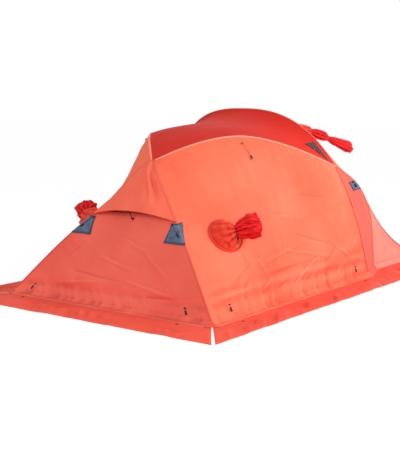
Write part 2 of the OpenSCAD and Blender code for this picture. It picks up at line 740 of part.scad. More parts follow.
// Zip tapes beside the door, and the sliders on them
zip_w = 10;
zip_t = 0.8;
zip_d = porch_d + cloth_t + fit;
zip_y = door_w / 2 + door_gap + 2 + zip_w / 2;
module door_zips() {
    color("black")
        for (y = [-zip_y, zip_y])
            translate([0, y, 0])
                porch_shell(door_s0, door_s1, zip_w / 2, zip_d, zip_t);
}
slider_w = 9;
slider_t = 5;
slider_s = 0.025;
module zip_slider(y) {
    color("black")
        translate([0, y, 0]) {
            porch_shell(door_s1 - 0.02 - slider_s, door_s1 - 0.02, slider_w / 2,
                zip_d + zip_t + fit, slider_t);
            porch_shell(door_s1 - 0.02 - 2 * slider_s, door_s1 - 0.02 - slider_s / 2, 2,
                zip_d + zip_t + fit + 2, 2);
        }
}
module zip_slider_near() {
    zip_slider(-zip_y);
}
module zip_slider_far() {
    zip_slider(zip_y);
}

// ---- skirts ----
eyelet_wall = 3;
slit = 6;
tuck = 15;
eyelet_out = 40;
function eyelet_ring() = concat(
    [for (x = hem_xs) [x, -side_y - riser_w - eyelet_out]],
    [for (x = hem_xs) [x, side_y + riser_w + eyelet_out]],
    [for (y = hem_ys) [-back_x - riser_w - eyelet_out, y]]);
module skirt_plate(points) {
    difference() {
        linear_extrude(skirt_t)
            polygon(points);
        for (e = eyelet_ring())
            translate([e.x, e.y, -1])
                cylinder(h = skirt_t + 2, r = eyelet_r + eyelet_wall, $fn = 48);
    }
}
skirt_in = riser_w - tuck;
side_out = riser_w + side_skirt_w;
back_out = riser_w + back_skirt_w;
end_run = 330;
module near_skirt() {
    skirt_plate([[-back_x - skirt_in + slit, -side_y - skirt_in],
        [-back_x - back_out + 3 * slit, -side_y - side_out],
        [hoop_x - end_run, -side_y - side_out], [hoop_x, -side_y - skirt_in]]);
}
module wing_skirt() {
    skirt_plate([[hoop_x + slit, -side_y - skirt_in],
        [hoop_x - end_run + slit, -side_y - side_out],
        [front_x + 60, -side_y - side_out], [porch_x + 10, -front_y - side_out],
        [porch_x - 10, -front_y - skirt_in], [front_x + 20, -front_y - skirt_in]]);
}
module skirts() {
    color("tomato") {
        near_skirt();
        wing_skirt();
        mirror([0, 1, 0]) {
            near_skirt();
            wing_skirt();
        }
        skirt_plate([[-back_x - skirt_in, -side_y - skirt_in + slit],
            [-back_x - back_out, -side_y - side_out + 3 * slit],
            [-back_x - back_out, side_y + side_out - 3 * slit],
            [-back_x - skirt_in, side_y + skirt_in - slit]]);
    }
}
module peg_eyelets() {
    color("goldenrod")
        for (e = eyelet_ring())
            translate([e.x, e.y, 0])
                rotate_extrude($fn = 64)
                    polygon([[eyelet_r, 0], [eyelet_r + eyelet_wall - 0.1, 0],
                        [eyelet_r + eyelet_wall - 0.1, skirt_t + fit / 2],
                        [eyelet_r + 2 * eyelet_wall, skirt_t + fit / 2],
                        [eyelet_r + 2 * eyelet_wall, skirt_t + 1.5], [eyelet_r, skirt_t + 1.5]]);
}

// ---- reinforcements ----
// Patch folded over a pole ridge between two panels
module patch_sheet(cols_low, cols_mid, cols_high) {
    low = [for (i = [0 : len(cols_mid) - 1]) [cols_low[i], cols_mid[i], cols_high[i]]];
    sheet(low, [for (r = low) [for (p = r) lift(p, patch_t)]]);
}
// Rows of the back patch: place on the pole line, reach onto the side, reach onto the back
back_patch_rows = [[1.2, 0.002, 0.18], [4 / 3, 0.01, 0.14], [1.5, 0.026, 0.08], [1.57, 0.033, 0.06]];
module back_patch() {
    patch_sheet([for (r = back_patch_rows) on_side(r[1], r[0] / peak_t, patch_low)],
        [for (r = back_patch_rows) on_side(trim, r[0] / peak_t, patch_low)],
        [for (r = back_patch_rows) on_back(r[2], r[0] / under_t, patch_low)]);
}
module front_patch() {
    ts = steps(4, front_lip_t + 0.02, 5.66);
    patch_sheet([for (t = ts) on_band((t - cross_t) / (long_end - cross_t), 0.45, patch_low)],
        [for (t = ts) lift(near_pole(t), patch_low)],
        [for (t = ts) on_porch((t - front_under_t) / (bend_t - front_under_t), 0.06,
            patch_low)]);
}
module corner_patches() {
    color("slategray") {
        back_patch();
        front_patch();
        mirror([0, 1, 0]) {
            back_patch();
            front_patch();
        }
    }
}

// Dark clear panes sewn on the roof's front corners
pane_t = 0.6;
pane_low = fly_top + 3 * fit;
// Outline of a pane: places along and across the roof
pane_outline = [[0.88, 0.08], [0.96, 0.1], [0.965, 0.012]];
module pane() {
    intersection() {
        panel(function (u, v) roof_at(u, v), tip_steps, hoop_grid_steps, pane_low, pane_t);
        linear_extrude(2 * hoop_h)
            polygon([for (c = pane_outline) let (p = roof_at(c.x, c.y)) [p.x, p.y]]);
    }
}
module roof_windows() {
    color("dimgray", 0.6) {
        pane();
        mirror([0, 1, 0])
            pane();
    }
}

// ---- hood prop ----
prop_r = 3;
prop_pin_r = 2;
prop_ear = [9, 3, 8];
prop_eye_w = 7;
prop_base = lift(back_at(0.5, 0.93), fly_top + fit);
prop_normal = normal_at(function (u, v) back_at(u, v), 0.5, 0.9);
prop_lift = 7;
prop_pin = prop_base + prop_normal * prop_lift;
// It leans out under the hood, and is short enough to swing out past the hood's lip
prop_way = unit(lift(back_hood_at(0.985, 0.5), hood_low) - prop_pin);
prop_l = norm(lift(back_hood_at(1, 0.5), hood_low) - prop_pin) - 2.2;
module prop_hinge() {
    color("black")
        multmatrix(frame_at(prop_base, [0, 1, 0], prop_normal)) {
            translate([-10, -7, 0])
                cube([20, 14, 1.6]);
            for (x = [-prop_eye_w / 2 - fit - prop_ear.y, prop_eye_w / 2 + fit])
                translate([x, -prop_ear.x / 2, 1.6])
                    cube([prop_ear.y, prop_ear.x, prop_ear.z]);
            translate([-8, 0, prop_lift])
                rotate([0, 90, 0])
                    cylinder(h = 16, r = prop_pin_r, $fn = 36);
        }
}
module hood_prop() {
    color("black")
        difference() {
            union() {
                aim(prop_pin, [0, 1, 0])
                    cylinder(h = prop_eye_w, r = 4.6, center = true, $fn = 36);
                aim(prop_pin, prop_way)
                    cylinder(h = prop_l, r = prop_r, $fn = 36);
            }
            aim(prop_pin, [0, 1, 0])
                cylinder(h = 20, r = prop_pin_r + 0.06, center = true, $fn = 36);
        }
}

// ---- sleeves and cords ----
module vent_sleeve_near() {
    color("red")
        sleeve(side_vent);
}
module vent_sleeve_far() {
    mirror([0, 1, 0])
        vent_sleeve_near();
}
module vent_sleeve_front() {
    color("red")
        sleeve(front_vent);
}
module sleeve_lock_near() {
    color("black")
        lock_on_tail(side_vent);
}
module sleeve_lock_far() {
    mirror([0, 1, 0])
        sleeve_lock_near();
}
module sleeve_lock_front() {
    color("black")
        lock_on_tail(front_vent);
}
module patch_and_arc_cords() {
    multmatrix(back_patch_frame) tension_cord(patch_cord_l, patch_rise);
    multmatrix(front_patch_frame) tension_cord(front_cord_l, patch_rise);
    multmatrix(arc_frame) tension_cord(arc_cord_l, arc_rise);
    for (x = hem_xs)
        multmatrix(side_hem_frame(x)) tension_cord(hem_cord_l, 0);
}
module cords() {
    color("black") {
        drawcord(side_vent);
        mirror([0, 1, 0])
            drawcord(side_vent);
        drawcord(front_vent);
        patch_and_arc_cords();
        mirror([0, 1, 0])
            patch_and_arc_cords();
        for (y = hem_ys)
            multmatrix(back_hem_frame(y)) tension_cord(hem_cord_l, 0);
    }
}
module toggle_on(frame, l, rise = 0) {
    color("black")
        multmatrix(frame)
            tension_toggle(l, rise);
}
module toggle_patch_back_near() { toggle_on(back_patch_frame, patch_cord_l, patch_rise); }
module toggle_patch_back_far() { mirror([0, 1, 0]) toggle_patch_back_near(); }
module toggle_patch_front_near() { toggle_on(front_patch_frame, front_cord_l, patch_rise); }
module toggle_patch_front_far() { mirror([0, 1, 0]) toggle_patch_front_near(); }
module toggle_arc_near() { toggle_on(arc_frame, arc_cord_l, arc_rise); }
module toggle_arc_far() { mirror([0, 1, 0]) toggle_arc_near(); }
module hem_toggle_near_back() { toggle_on(side_hem_frame(hem_xs[0]), hem_cord_l); }
module hem_toggle_near_front() { toggle_on(side_hem_frame(hem_xs[1]), hem_cord_l); }
module hem_toggle_far_back() { mirror([0, 1, 0]) hem_toggle_near_back(); }
module hem_toggle_far_front() { mirror([0, 1, 0]) hem_toggle_near_front(); }
module hem_toggle_back_near() { toggle_on(back_hem_frame(hem_ys[0]), hem_cord_l); }
module hem_toggle_back_far() { toggle_on(back_hem_frame(hem_ys[1]), hem_cord_l); }

// ---- inner tent ----
inner_grid = 12;
inner_trim = 2 * trim;
inner_steps = steps(inner_grid, inner_trim, 1 - inner_trim);
inner_top = -inner_gap;
inner_low = inner_top - cloth_t;
floor_wall = lift([-back_x, 0, hem_z], inner_low).z + fit;
function inset(p, d) = let (q = lift(p, -d)) [q.x, q.y];
function floor_outline(d) = concat(
    [for (u = inner_steps) inset(mix(back_corner, hoop_corner, u), d)],
    [for (u = [inner_grid : -1 : 0]) inset(flip_y(mix(back_corner, hoop_corner, inner_steps[u])), d)],
    [for (u = [inner_grid - 1 : -1 : 1])
        inset(mix(back_corner, flip_y(back_corner), inner_steps[u]), d)]);
module inner_floor() {
    color("dimgray") {
        linear_extrude(cloth_t)
            polygon(floor_outline(inner_gap));
        translate([0, 0, cloth_t])
            linear_extrude(floor_wall - cloth_t)
                difference() {
                    polygon(floor_outline(inner_gap));
                    polygon(floor_outline(inner_gap + 2 * cloth_t));
                }
    }
}
module inner_side_near() {
    color("khaki")
        panel(function (u, v) side_at(u, v), inner_steps, inner_steps, inner_low);
}
module inner_side_far() {
    mirror([0, 1, 0])
        inner_side_near();
}
module inner_roof() {
    color("khaki")
        panel(function (u, v) roof_at(u, v), steps(inner_grid, 0.04, 1 - trim), inner_steps,
            inner_low);
}
function inner_back_at(u, v) = coons(u, v,
    function (s) mix(back_corner, flip_y(back_corner), s),
    function (s) peak_station,
    function (s) far_pole(peak_t * s),
    function (s) near_pole(peak_t * s), u);
module inner_back() {
    color("khaki")
        panel(function (u, v) inner_back_at(u, v), inner_steps, steps(inner_grid, inner_trim, 0.96),
            inner_low);
}
function inner_front_at(u, v) = coons(u, v,
    function (s) mix(hoop_corner, flip_y(hoop_corner), s),
    function (s) hoop_at(mix(cross_angle, -cross_angle, s)),
    function (s) hoop_at(mix(hoop_foot, cross_angle, s)),
    function (s) hoop_at(-mix(hoop_foot, cross_angle, s)), u);
module inner_wall() {
    low = [for (v = inner_steps) [for (u = inner_steps) lift(inner_front_at(u, v), inner_low)
        + [fit, 0, 0]]];
    sheet(low, [for (r = low) [for (p = r) p + [cloth_t, 0, 0]]]);
}
inner_door_r = 330;
inner_sill = 70;
inner_door_h = 490;
module inner_door_prism(g) {
    rotate([90, 0, 90])
        linear_extrude(hoop_x + 100) {
            translate([-inner_door_r - g, inner_sill - g])
                square([2 * (inner_door_r + g), inner_door_h + g]);
            translate([0, inner_sill + inner_door_h])
                circle(inner_door_r + g, $fn = 64);
        }
}
module inner_front() {
    color("khaki")
        difference() {
            inner_wall();
            inner_door_prism(door_gap);
        }
}
module inner_door() {
    color("goldenrod")
        intersection() {
            inner_wall();
            inner_door_prism(0);
        }
}
function on_inner_front(u, v) = on_cloth(function (s, t) inner_front_at(s, t), inner_steps,
    inner_steps, u, v, inner_low) + [cloth_t + 3 * fit, 0, 0];
// Slider on the straight side of the inner door's zip; it runs straight up, and leans
// back a little less than the wall, so that it never meets it
slider_lean = 0.34;
module inner_slider() {
    u = 0.5 - (inner_door_r + inner_gap + 12) / (2 * side_y);
    color("black")
        multmatrix(frame_at(on_inner_front(u, 0.12), [-slider_lean, 0, 1], [1, 0, 0]))
            translate([0, -4, 0])
                cube([24, 8, 5]);
}
hanger_r = 2.5;
hanger_gap = 0.8;
inner_hang = [post_count + 4, post_count + arch_count - 4];
module inner_hangers() {
    color("black")
        for (i = inner_hang)
            aim(lift(path_hoop[i], inner_top - layer + fit), outward(path_hoop[i]))
                cylinder(h = layer - pole_r - inner_top - hanger_gap - fit, r = hanger_r, $fn = 36);
}

pole_a();
pole_b();
pole_hoop();
pole_ferrules();
pole_tips();
foot_grommets();
crossing_clips();
pole_ties();
side_panel_near();
side_panel_far();
roof_panel();
back_panel();
back_hood();
front_hood();
band_near();
band_far();
vestibule_roof();
wing_near();
wing_far();
vestibule_front();
vestibule_door();
door_zips();
zip_slider_near();
zip_slider_far();
skirts();
peg_eyelets();
corner_patches();
roof_windows();
hood_prop();
prop_hinge();
vent_sleeve_near();
vent_sleeve_far();
vent_sleeve_front();
cords();
sleeve_lock_near();
sleeve_lock_far();
sleeve_lock_front();
toggle_patch_back_near();
toggle_patch_back_far();
toggle_patch_front_near();
toggle_patch_front_far();
toggle_arc_near();
toggle_arc_far();
hem_toggle_near_back();
hem_toggle_near_front();
hem_toggle_far_back();
hem_toggle_far_front();
hem_toggle_back_near();
hem_toggle_back_far();
inner_floor();
inner_side_near();
inner_side_far();
inner_roof();
inner_back();
inner_front();
inner_door();
inner_slider();
inner_hangers();
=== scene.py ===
# Expedition tent: fly, hoods, vent sleeves, skirts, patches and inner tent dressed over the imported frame
import math
import bpy
import numpy as np
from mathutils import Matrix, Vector


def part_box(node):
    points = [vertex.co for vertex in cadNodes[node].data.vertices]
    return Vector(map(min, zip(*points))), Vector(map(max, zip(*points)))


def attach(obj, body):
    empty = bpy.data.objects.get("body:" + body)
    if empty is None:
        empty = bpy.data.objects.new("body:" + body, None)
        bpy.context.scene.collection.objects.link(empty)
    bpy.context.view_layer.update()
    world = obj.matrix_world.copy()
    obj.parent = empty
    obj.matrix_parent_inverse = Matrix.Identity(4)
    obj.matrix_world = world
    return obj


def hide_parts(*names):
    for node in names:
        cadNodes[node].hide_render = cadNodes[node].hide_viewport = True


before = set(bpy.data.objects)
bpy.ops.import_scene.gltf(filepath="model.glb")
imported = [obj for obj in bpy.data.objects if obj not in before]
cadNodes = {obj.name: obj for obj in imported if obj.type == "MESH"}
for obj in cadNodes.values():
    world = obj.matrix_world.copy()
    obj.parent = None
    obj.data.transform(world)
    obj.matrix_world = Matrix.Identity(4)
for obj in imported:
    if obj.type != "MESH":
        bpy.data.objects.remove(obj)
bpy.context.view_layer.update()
bpy.ops.object.select_all(action="DESELECT")
print("frame loaded:", len(cadNodes), "nodes")

# ---- camera and studio ----
studio = {
    "cameraAt": (-6.201, -4.626, 1.530),
    "cameraAim": (0.7942, 0.5913, -0.1395),
    "lens": 78.77,
    "sensor": 36,
    "clipEnd": 200,
    "floorSize": 60,
    "floorAt": (0, 0, -0.0005),
    "floorGrey": 0.62,
    "floorGlow": 1.04,
    "floorSeen": 0.93,
    "worldLight": 0.56,
    "lampAim": (0.4, 0, 0.5),
    "lamps": {
        "key": {"at": (1.6, -7.0, 4.0), "size": 2.4, "power": 370},
        "side": {"at": (6.5, -4.0, 2.6), "size": 3.0, "power": 110},
        "fill": {"at": (-6.5, 0.6, 4.2), "size": 3.0, "power": 140},
    },
}


def linearColour(hexColour, alpha=1.0):
    parts = [int(hexColour[i:i + 2], 16) / 255 for i in (1, 3, 5)]
    return tuple(c / 12.92 if c <= 0.04045 else ((c + 0.055) / 1.055) ** 2.4 for c in parts) + (alpha,)


def newFinish(name):
    material = bpy.data.materials.new(name)
    material.use_nodes = True
    material.node_tree.nodes.clear()
    return material, material.node_tree


def addNode(tree, kind, inputs=None, **settings):
    node = tree.nodes.new("ShaderNode" + kind)
    for key, value in settings.items():
        setattr(node, key, value)
    for key, value in (inputs or {}).items():
        if isinstance(value, bpy.types.NodeSocket):
            tree.links.new(value, node.inputs[key])
        else:
            node.inputs[key].default_value = value
    return node


def addRamp(tree, value, low, high, start=0.0, end=1.0):
    ramp = addNode(tree, "ValToRGB", {"Fac": value})
    for stop, at, colour in zip(ramp.color_ramp.elements, (start, end), (low, high)):
        stop.position = at
        stop.color = linearColour(colour)
    return ramp.outputs["Color"]


def addMath(tree, operation, first, second):
    return addNode(tree, "Math", {0: first, 1: second}, operation=operation).outputs[0]


def addNoise(tree, place, scale, detail):
    return addNode(tree, "TexNoise", {"Vector": place.outputs["Object"], "Scale": scale,
                                      "Detail": detail}).outputs["Fac"]


def addBump(tree, height, strength, distance):
    return addNode(tree, "Bump", {"Height": height, "Strength": strength,
                                  "Distance": distance}).outputs["Normal"]


def addTint(tree, share, colour, tint):
    return addNode(tree, "Mix", {"Factor": share, 6: colour, 7: tint}, data_type="RGBA").outputs[2]


def addSurface(tree, inputs):
    shader = addNode(tree, "BsdfPrincipled", inputs)
    addNode(tree, "OutputMaterial", {"Surface": shader.outputs[0]})


cameraData = bpy.data.cameras.new("studioCamera")
cameraData.lens = studio["lens"]
cameraData.sensor_width = studio["sensor"]
cameraData.clip_end = studio["clipEnd"]
camera = bpy.data.objects.new("studioCamera", cameraData)
bpy.context.scene.collection.objects.link(camera)
camera.location = studio["cameraAt"]
camera.rotation_euler = Vector(studio["cameraAim"]).to_track_quat("-Z", "Y").to_euler()
bpy.context.scene.camera = camera

world = bpy.data.worlds.new("softStudio")
bpy.context.scene.world = world
world.use_nodes = True
world.node_tree.nodes.clear()
skyLight = addNode(world.node_tree, "Background", {"Color": (1, 1, 1, 1), "Strength": studio["worldLight"]})
skySeen = addNode(world.node_tree, "Background", {"Color": (1, 1, 1, 1), "Strength": 1.0})
skyPath = addNode(world.node_tree, "LightPath")
skyMix = addNode(world.node_tree, "MixShader", {0: skyPath.outputs["Is Camera Ray"], 1: skyLight.outputs[0],
                                                2: skySeen.outputs[0]})
addNode(world.node_tree, "OutputWorld", {"Surface": skyMix.outputs[0]})

for lampName, lamp in studio["lamps"].items():
    lampData = bpy.data.lights.new(lampName + "Softbox", "AREA")
    lampData.shape = "SQUARE"
    lampData.size = lamp["size"]
    lampData.energy = lamp["power"]
    lampObject = bpy.data.objects.new(lampName + "Softbox", lampData)
    bpy.context.scene.collection.objects.link(lampObject)
    lampObject.location = lamp["at"]
    toward = Vector(studio["lampAim"]) - Vector(lamp["at"])
    lampObject.rotation_euler = toward.to_track_quat("-Z", "Y").to_euler()

bpy.ops.mesh.primitive_plane_add(size=studio["floorSize"], location=studio["floorAt"])
studioFloor = bpy.context.object
studioFloor.name = "studioFloor"
floorPaint, floorTree = newFinish("paleStudioFloor")
floorMatte = addNode(floorTree, "BsdfDiffuse", {"Color": (studio["floorGrey"],) * 3 + (1,)})
floorGlow = addNode(floorTree, "Emission", {"Color": (1, 1, 1, 1), "Strength": studio["floorGlow"]})
floorPath = addNode(floorTree, "LightPath")
floorSeen = addMath(floorTree, "MULTIPLY", floorPath.outputs["Is Camera Ray"], studio["floorSeen"])
floorMix = addNode(floorTree, "MixShader", {0: floorSeen, 1: floorMatte.outputs[0],
                                            2: floorGlow.outputs[0]})
addNode(floorTree, "OutputMaterial", {"Surface": floorMix.outputs[0]})
studioFloor.data.materials.append(floorPaint)
bpy.context.scene.view_settings.view_transform = "Standard"
print("camera, lamps and floor ready")

# ---- pole lines and cloth surfaces, in metres ----
tent = {
    "backX": 1.080, "sideY": 0.900, "hoopX": 1.085, "hoopHigh": 1.344, "hoopLean": 0.37,
    "hoopPower": 2.6, "crossAngle": 60.4, "hemZ": 0.036, "peakX": 0.567, "peakZ": 0.986,
    "arcZ": 1.159, "arcY": 0.433, "frontX": 1.440, "frontY": 0.776, "bendZ": 0.567,
    "bendIn": 0.148, "legBow": 0.018, "porchX": 2.200, "porchMidZ": 0.291,
    "spineBack": -0.500, "spineFront": 0.900, "seam": 0.0004,
    "flyTop": 0.01675, "clothThick": 0.0012, "hoodTop": 0.0192,
    "roofClimb": 3.1, "innerClimb": 3.6, "riser": 0.060, "skirtTop": 0.0015,
    "legFirst": 0.36, "legSecond": 0.72, "arcX": -0.038, "porchMidShare": 0.37,
    "backLipMiddle": (-0.880, 0, 0.700), "frontLipMiddle": (1.190, 0, 0.860),
}
peakStop, crossStop, bendStop, endStop = 3, 5, 6, 7  # stations on a long pole


def unitRows(v):
    return v / np.maximum(np.linalg.norm(v, axis=-1, keepdims=True), 1e-9)


def outward(p):
    # away from a spine that lies along the ground in the tent's middle
    q = np.array(p, float)
    q[..., 0] -= np.clip(q[..., 0], tent["spineBack"], tent["spineFront"])
    return unitRows(q)


def lifted(p, d):
    return p + outward(p) * d


def mixed(a, b, t):
    t = np.asarray(t, float)[..., None] if np.ndim(t) else t
    return a + (b - a) * t


def flipped(p):
    return np.asarray(p) * np.array([1, -1, 1])


def hoopAt(a):
    # a squared-off arch that leans back; a is degrees from its top, positive on the near side
    a = np.atleast_1d(np.asarray(a, float))
    turn = np.radians(90 * (np.abs(a) / 90) ** (tent["hoopPower"] / 2))
    y = -tent["sideY"] * np.sign(a) * np.clip(np.sin(turn), 0, 1) ** (2 / tent["hoopPower"])
    z = tent["hoopHigh"] * np.clip(np.cos(turn), 0, 1) ** (2 / tent["hoopPower"])
    return np.stack([tent["hoopX"] - tent["hoopLean"] * (z - tent["hemZ"]), y, z], axis=-1)


hoopFoot = 90 * (math.degrees(math.acos((tent["hemZ"] / tent["hoopHigh"]) ** (tent["hoopPower"] / 2)))
                 / 90) ** (2 / tent["hoopPower"])
footStation = np.array([-tent["backX"], tent["sideY"], tent["hemZ"]])
peakStation = np.array([-tent["peakX"], 0, tent["peakZ"]])
longLine = np.array([
    footStation,
    lifted(mixed(footStation, peakStation, tent["legFirst"]), tent["legBow"]),
    mixed(footStation, peakStation, tent["legSecond"]),
    peakStation,
    [tent["arcX"], -tent["arcY"], tent["arcZ"]],
    hoopAt(tent["crossAngle"])[0],
    [tent["frontX"] - tent["bendIn"], -tent["frontY"], tent["bendZ"]],
    [tent["frontX"], -tent["frontY"], tent["hemZ"]],
])


def nearPole(t):
    # a smooth line through the stations, from the far foot at the back to the near foot at the front
    t = np.atleast_1d(np.asarray(t, float))
    line = np.vstack([2 * longLine[0] - longLine[1], longLine, 2 * longLine[-1] - longLine[-2]])
    i = np.clip(np.floor(t).astype(int), 0, len(longLine) - 2)
    f = (t - i)[:, None]
    a, b, c, d = line[i], line[i + 1], line[i + 2], line[i + 3]
    return (2 * b + (c - a) * f + (2 * a - 5 * b + 4 * c - d) * f ** 2
            + (3 * b - a - 3 * c + d) * f ** 3) / 2


def farPole(t):
    return flipped(nearPole(t))


def still(point):
    return lambda s: np.broadcast_to(point, (len(np.atleast_1d(s)), 3))


def straight(a, b):
    return lambda s: mixed(a, b, np.atleast_1d(s))


def between(a, b, t):
    return a + (b - a) * t


def coons(u, v, low, high, left, right, weight):
    # a surface between four lines: low and high run along u, left and right along v
    w = np.asarray(weight, float)
    zero, one = np.zeros(1), np.ones(1)
    return (mixed(low(u), high(u), v) + mixed(left(v), right(v), w)
            - mixed(mixed(low(zero), high(zero), v), mixed(low(one), high(one), v), w))


backCorner = np.array([-tent["backX"], -tent["sideY"], tent["hemZ"]])
hoopCorner = np.array([tent["hoopX"], -tent["sideY"], tent["hemZ"]])
frontCorner = np.array([tent["frontX"], -tent["frontY"], tent["hemZ"]])
porchCorner = np.array([tent["porchX"], -tent["frontY"], tent["hemZ"]])
backLip, underLip, frontLip, frontUnder = 1.6, 1.7, 5.42, 5.3
cross = tent["crossAngle"]


def sideAt(u, v):
    return coons(u, v, straight(backCorner, hoopCorner), lambda s: nearPole(between(peakStop, crossStop, s)),
                 lambda s: farPole(peakStop * s), lambda s: hoopAt(between(hoopFoot, cross, s)), u)


def roofAt(u, v, climb=tent["innerClimb"]):
    return coons(u, v, lambda s: nearPole(between(peakStop, crossStop, s)),
                 lambda s: farPole(between(peakStop, crossStop, s)), still(peakStation),
                 lambda s: hoopAt(between(cross, -cross, s)), np.asarray(u) ** climb)


def roofClothAt(u, v):
    # the fly climbs to the hoop sooner than the inner roof does
    return roofAt(u, v, tent["roofClimb"])


def backAt(u, v):
    return coons(u, v, straight(backCorner, flipped(backCorner)),
                 lambda s: mixed(farPole(underLip), nearPole(underLip), s),
                 lambda s: farPole(underLip * s), lambda s: nearPole(underLip * s), u)


def lipArc(a, b, middle):
    # from a to b, bowed towards middle
    return lambda s: mixed(mixed(a, middle, s), mixed(middle, b, s), s)


def backHoodAt(u, v):
    return coons(u, v, lambda s: farPole(between(peakStop, backLip, s)),
                 lambda s: nearPole(between(peakStop, backLip, s)), still(peakStation),
                 lipArc(farPole(backLip), nearPole(backLip), np.array(tent["backLipMiddle"])), u)


def frontHoodAt(u, v):
    return coons(u, v, lambda s: nearPole(between(crossStop, frontLip, s)),
                 lambda s: farPole(between(crossStop, frontLip, s)),
                 lambda s: hoopAt(between(cross, -cross, s)),
                 lipArc(nearPole(frontLip), farPole(frontLip), np.array(tent["frontLipMiddle"])), u)


def bandAt(u, v):
    return coons(u, v, lambda s: hoopAt(between(cross, hoopFoot, s)),
                 lambda s: nearPole(between(crossStop, endStop, s)),
                 still(nearPole(crossStop)[0]), straight(hoopCorner, frontCorner), u)


def porchRoofAt(u, v):
    return coons(u, v, lambda s: nearPole(between(frontUnder, bendStop, s)),
                 lambda s: farPole(between(frontUnder, bendStop, s)),
                 lambda s: mixed(nearPole(frontUnder), farPole(frontUnder), s),
                 lambda s: mixed(nearPole(bendStop), farPole(bendStop), s), u)


porchTop = nearPole(bendStop)[0]
porchMid = np.array([between(porchTop[0], tent["porchX"], tent["porchMidShare"]), -tent["frontY"],
                     tent["porchMidZ"]])


def arcCentre(a, b, c):
    # of the upright circle through three points, as seen from the side
    p, q = b - a, c - a
    k = 2 * (p[0] * q[2] - p[2] * q[0])
    pp, qq = p[0] ** 2 + p[2] ** 2, q[0] ** 2 + q[2] ** 2
    return np.array([a[0] + (q[2] * pp - p[2] * qq) / k, 0, a[2] + (p[0] * qq - q[0] * pp) / k])


porchCentre = arcCentre(porchTop, porchMid, porchCorner)
porchRadius = math.hypot(porchCorner[0] - porchCentre[0], porchCorner[2] - porchCentre[2])
porchStart = math.atan2(porchTop[2] - porchCentre[2], porchTop[0] - porchCentre[0])
porchSweep = math.atan2(porchCorner[2] - porchCentre[2], porchCorner[0] - porchCentre[0]) - porchStart


def porchArc(s):
    # the wing's long edge, down the vestibule's arc to its corner
    s = np.atleast_1d(s)
    a = porchStart + porchSweep * s
    return np.stack([porchCentre[0] + porchRadius * np.cos(a),
                     -tent["frontY"] + (porchTop[1] + tent["frontY"]) * (1 - s),
                     porchCentre[2] + porchRadius * np.sin(a)], axis=-1)


def wingAt(u, v):
    return coons(u, v, straight(frontCorner, porchCorner), porchArc,
                 lambda s: nearPole(between(endStop, bendStop, s)), still(porchCorner), u)


def mirrorOf(surface):
    return lambda u, v: flipped(surface(u, v))


def onSide(points, mirrored):
    return flipped(points) if mirrored else points


# ---- cloth with folds ----
drape = {
    "wander": 0.6, "creaseFade": 0.6, "footLift": 0.0016, "lowest": 0.0014, "riserRows": 6, "riserSag": 0.006,
    "pinRun": 0.05, "pinPower": 1.5, "sink": 0.003, "sinkRun": 0.03,
    "hemClear": 0.05, "hemStretch": 0.5, "tuckUneven": 0.7, "tuckPitch": (0.16, 0.3),
}


def softNoise(x, y, seed):
    # smooth random field, -1 to 1, the same each run
    xi, yi = np.floor(x).astype(np.int64), np.floor(y).astype(np.int64)
    fx, fy = x - xi, y - yi

    def corner(i, j):
        h = (i * 374761393 + j * 668265263 + seed * 974634777) & 0xffffffff
        h = ((h ^ (h >> 13)) * 1274126177) & 0xffffffff
        return ((h ^ (h >> 16)) & 0xffff) / 32767.5 - 1
    sx, sy = fx ** 3 * (fx * (6 * fx - 15) + 10), fy ** 3 * (fy * (6 * fy - 15) + 10)
    low = corner(xi, yi) * (1 - sx) + corner(xi + 1, yi) * sx
    high = corner(xi, yi + 1) * (1 - sx) + corner(xi + 1, yi + 1) * sx
    return low * (1 - sy) + high * sy


def cloudy(x, y, pitch, seed):
    return softNoise(x / pitch[0], y / pitch[1], seed)


def pullFolds(x, y, angle, pitch, stretch, seed):
    # long folds that run along angle, pitch apart
    c, s = math.cos(math.radians(angle)), math.sin(math.radians(angle))
    along, over = x * c + y * s, y * c - x * s
    wander = drape["wander"] * cloudy(along, over, (stretch, stretch), seed + 7)
    return softNoise(along / stretch, over / pitch + wander, seed)


def crease(points, start, end, width, depth):
    # one fold from start towards end, fading along its way
    way = end - start
    t = np.clip(((points - start) @ way) / (way @ way), 0, 1)
    gap = np.linalg.norm(points - start - t[..., None] * way, axis=-1)
    return depth * np.exp(-(gap / width) ** 2) * np.sin(np.pi * t ** drape["creaseFade"])


def gridNormals(points):
    du, dv = np.gradient(points, axis=0), np.gradient(points, axis=1)
    n = unitRows(np.cross(du, dv))
    return n if (n * outward(points)).sum() > 0 else -n


def runLengths(points, axis):
    step = np.linalg.norm(np.diff(points, axis=axis), axis=-1)
    start = np.zeros_like(np.take(step, [0], axis=axis))
    return np.concatenate([start, np.cumsum(step, axis=axis)], axis=axis)


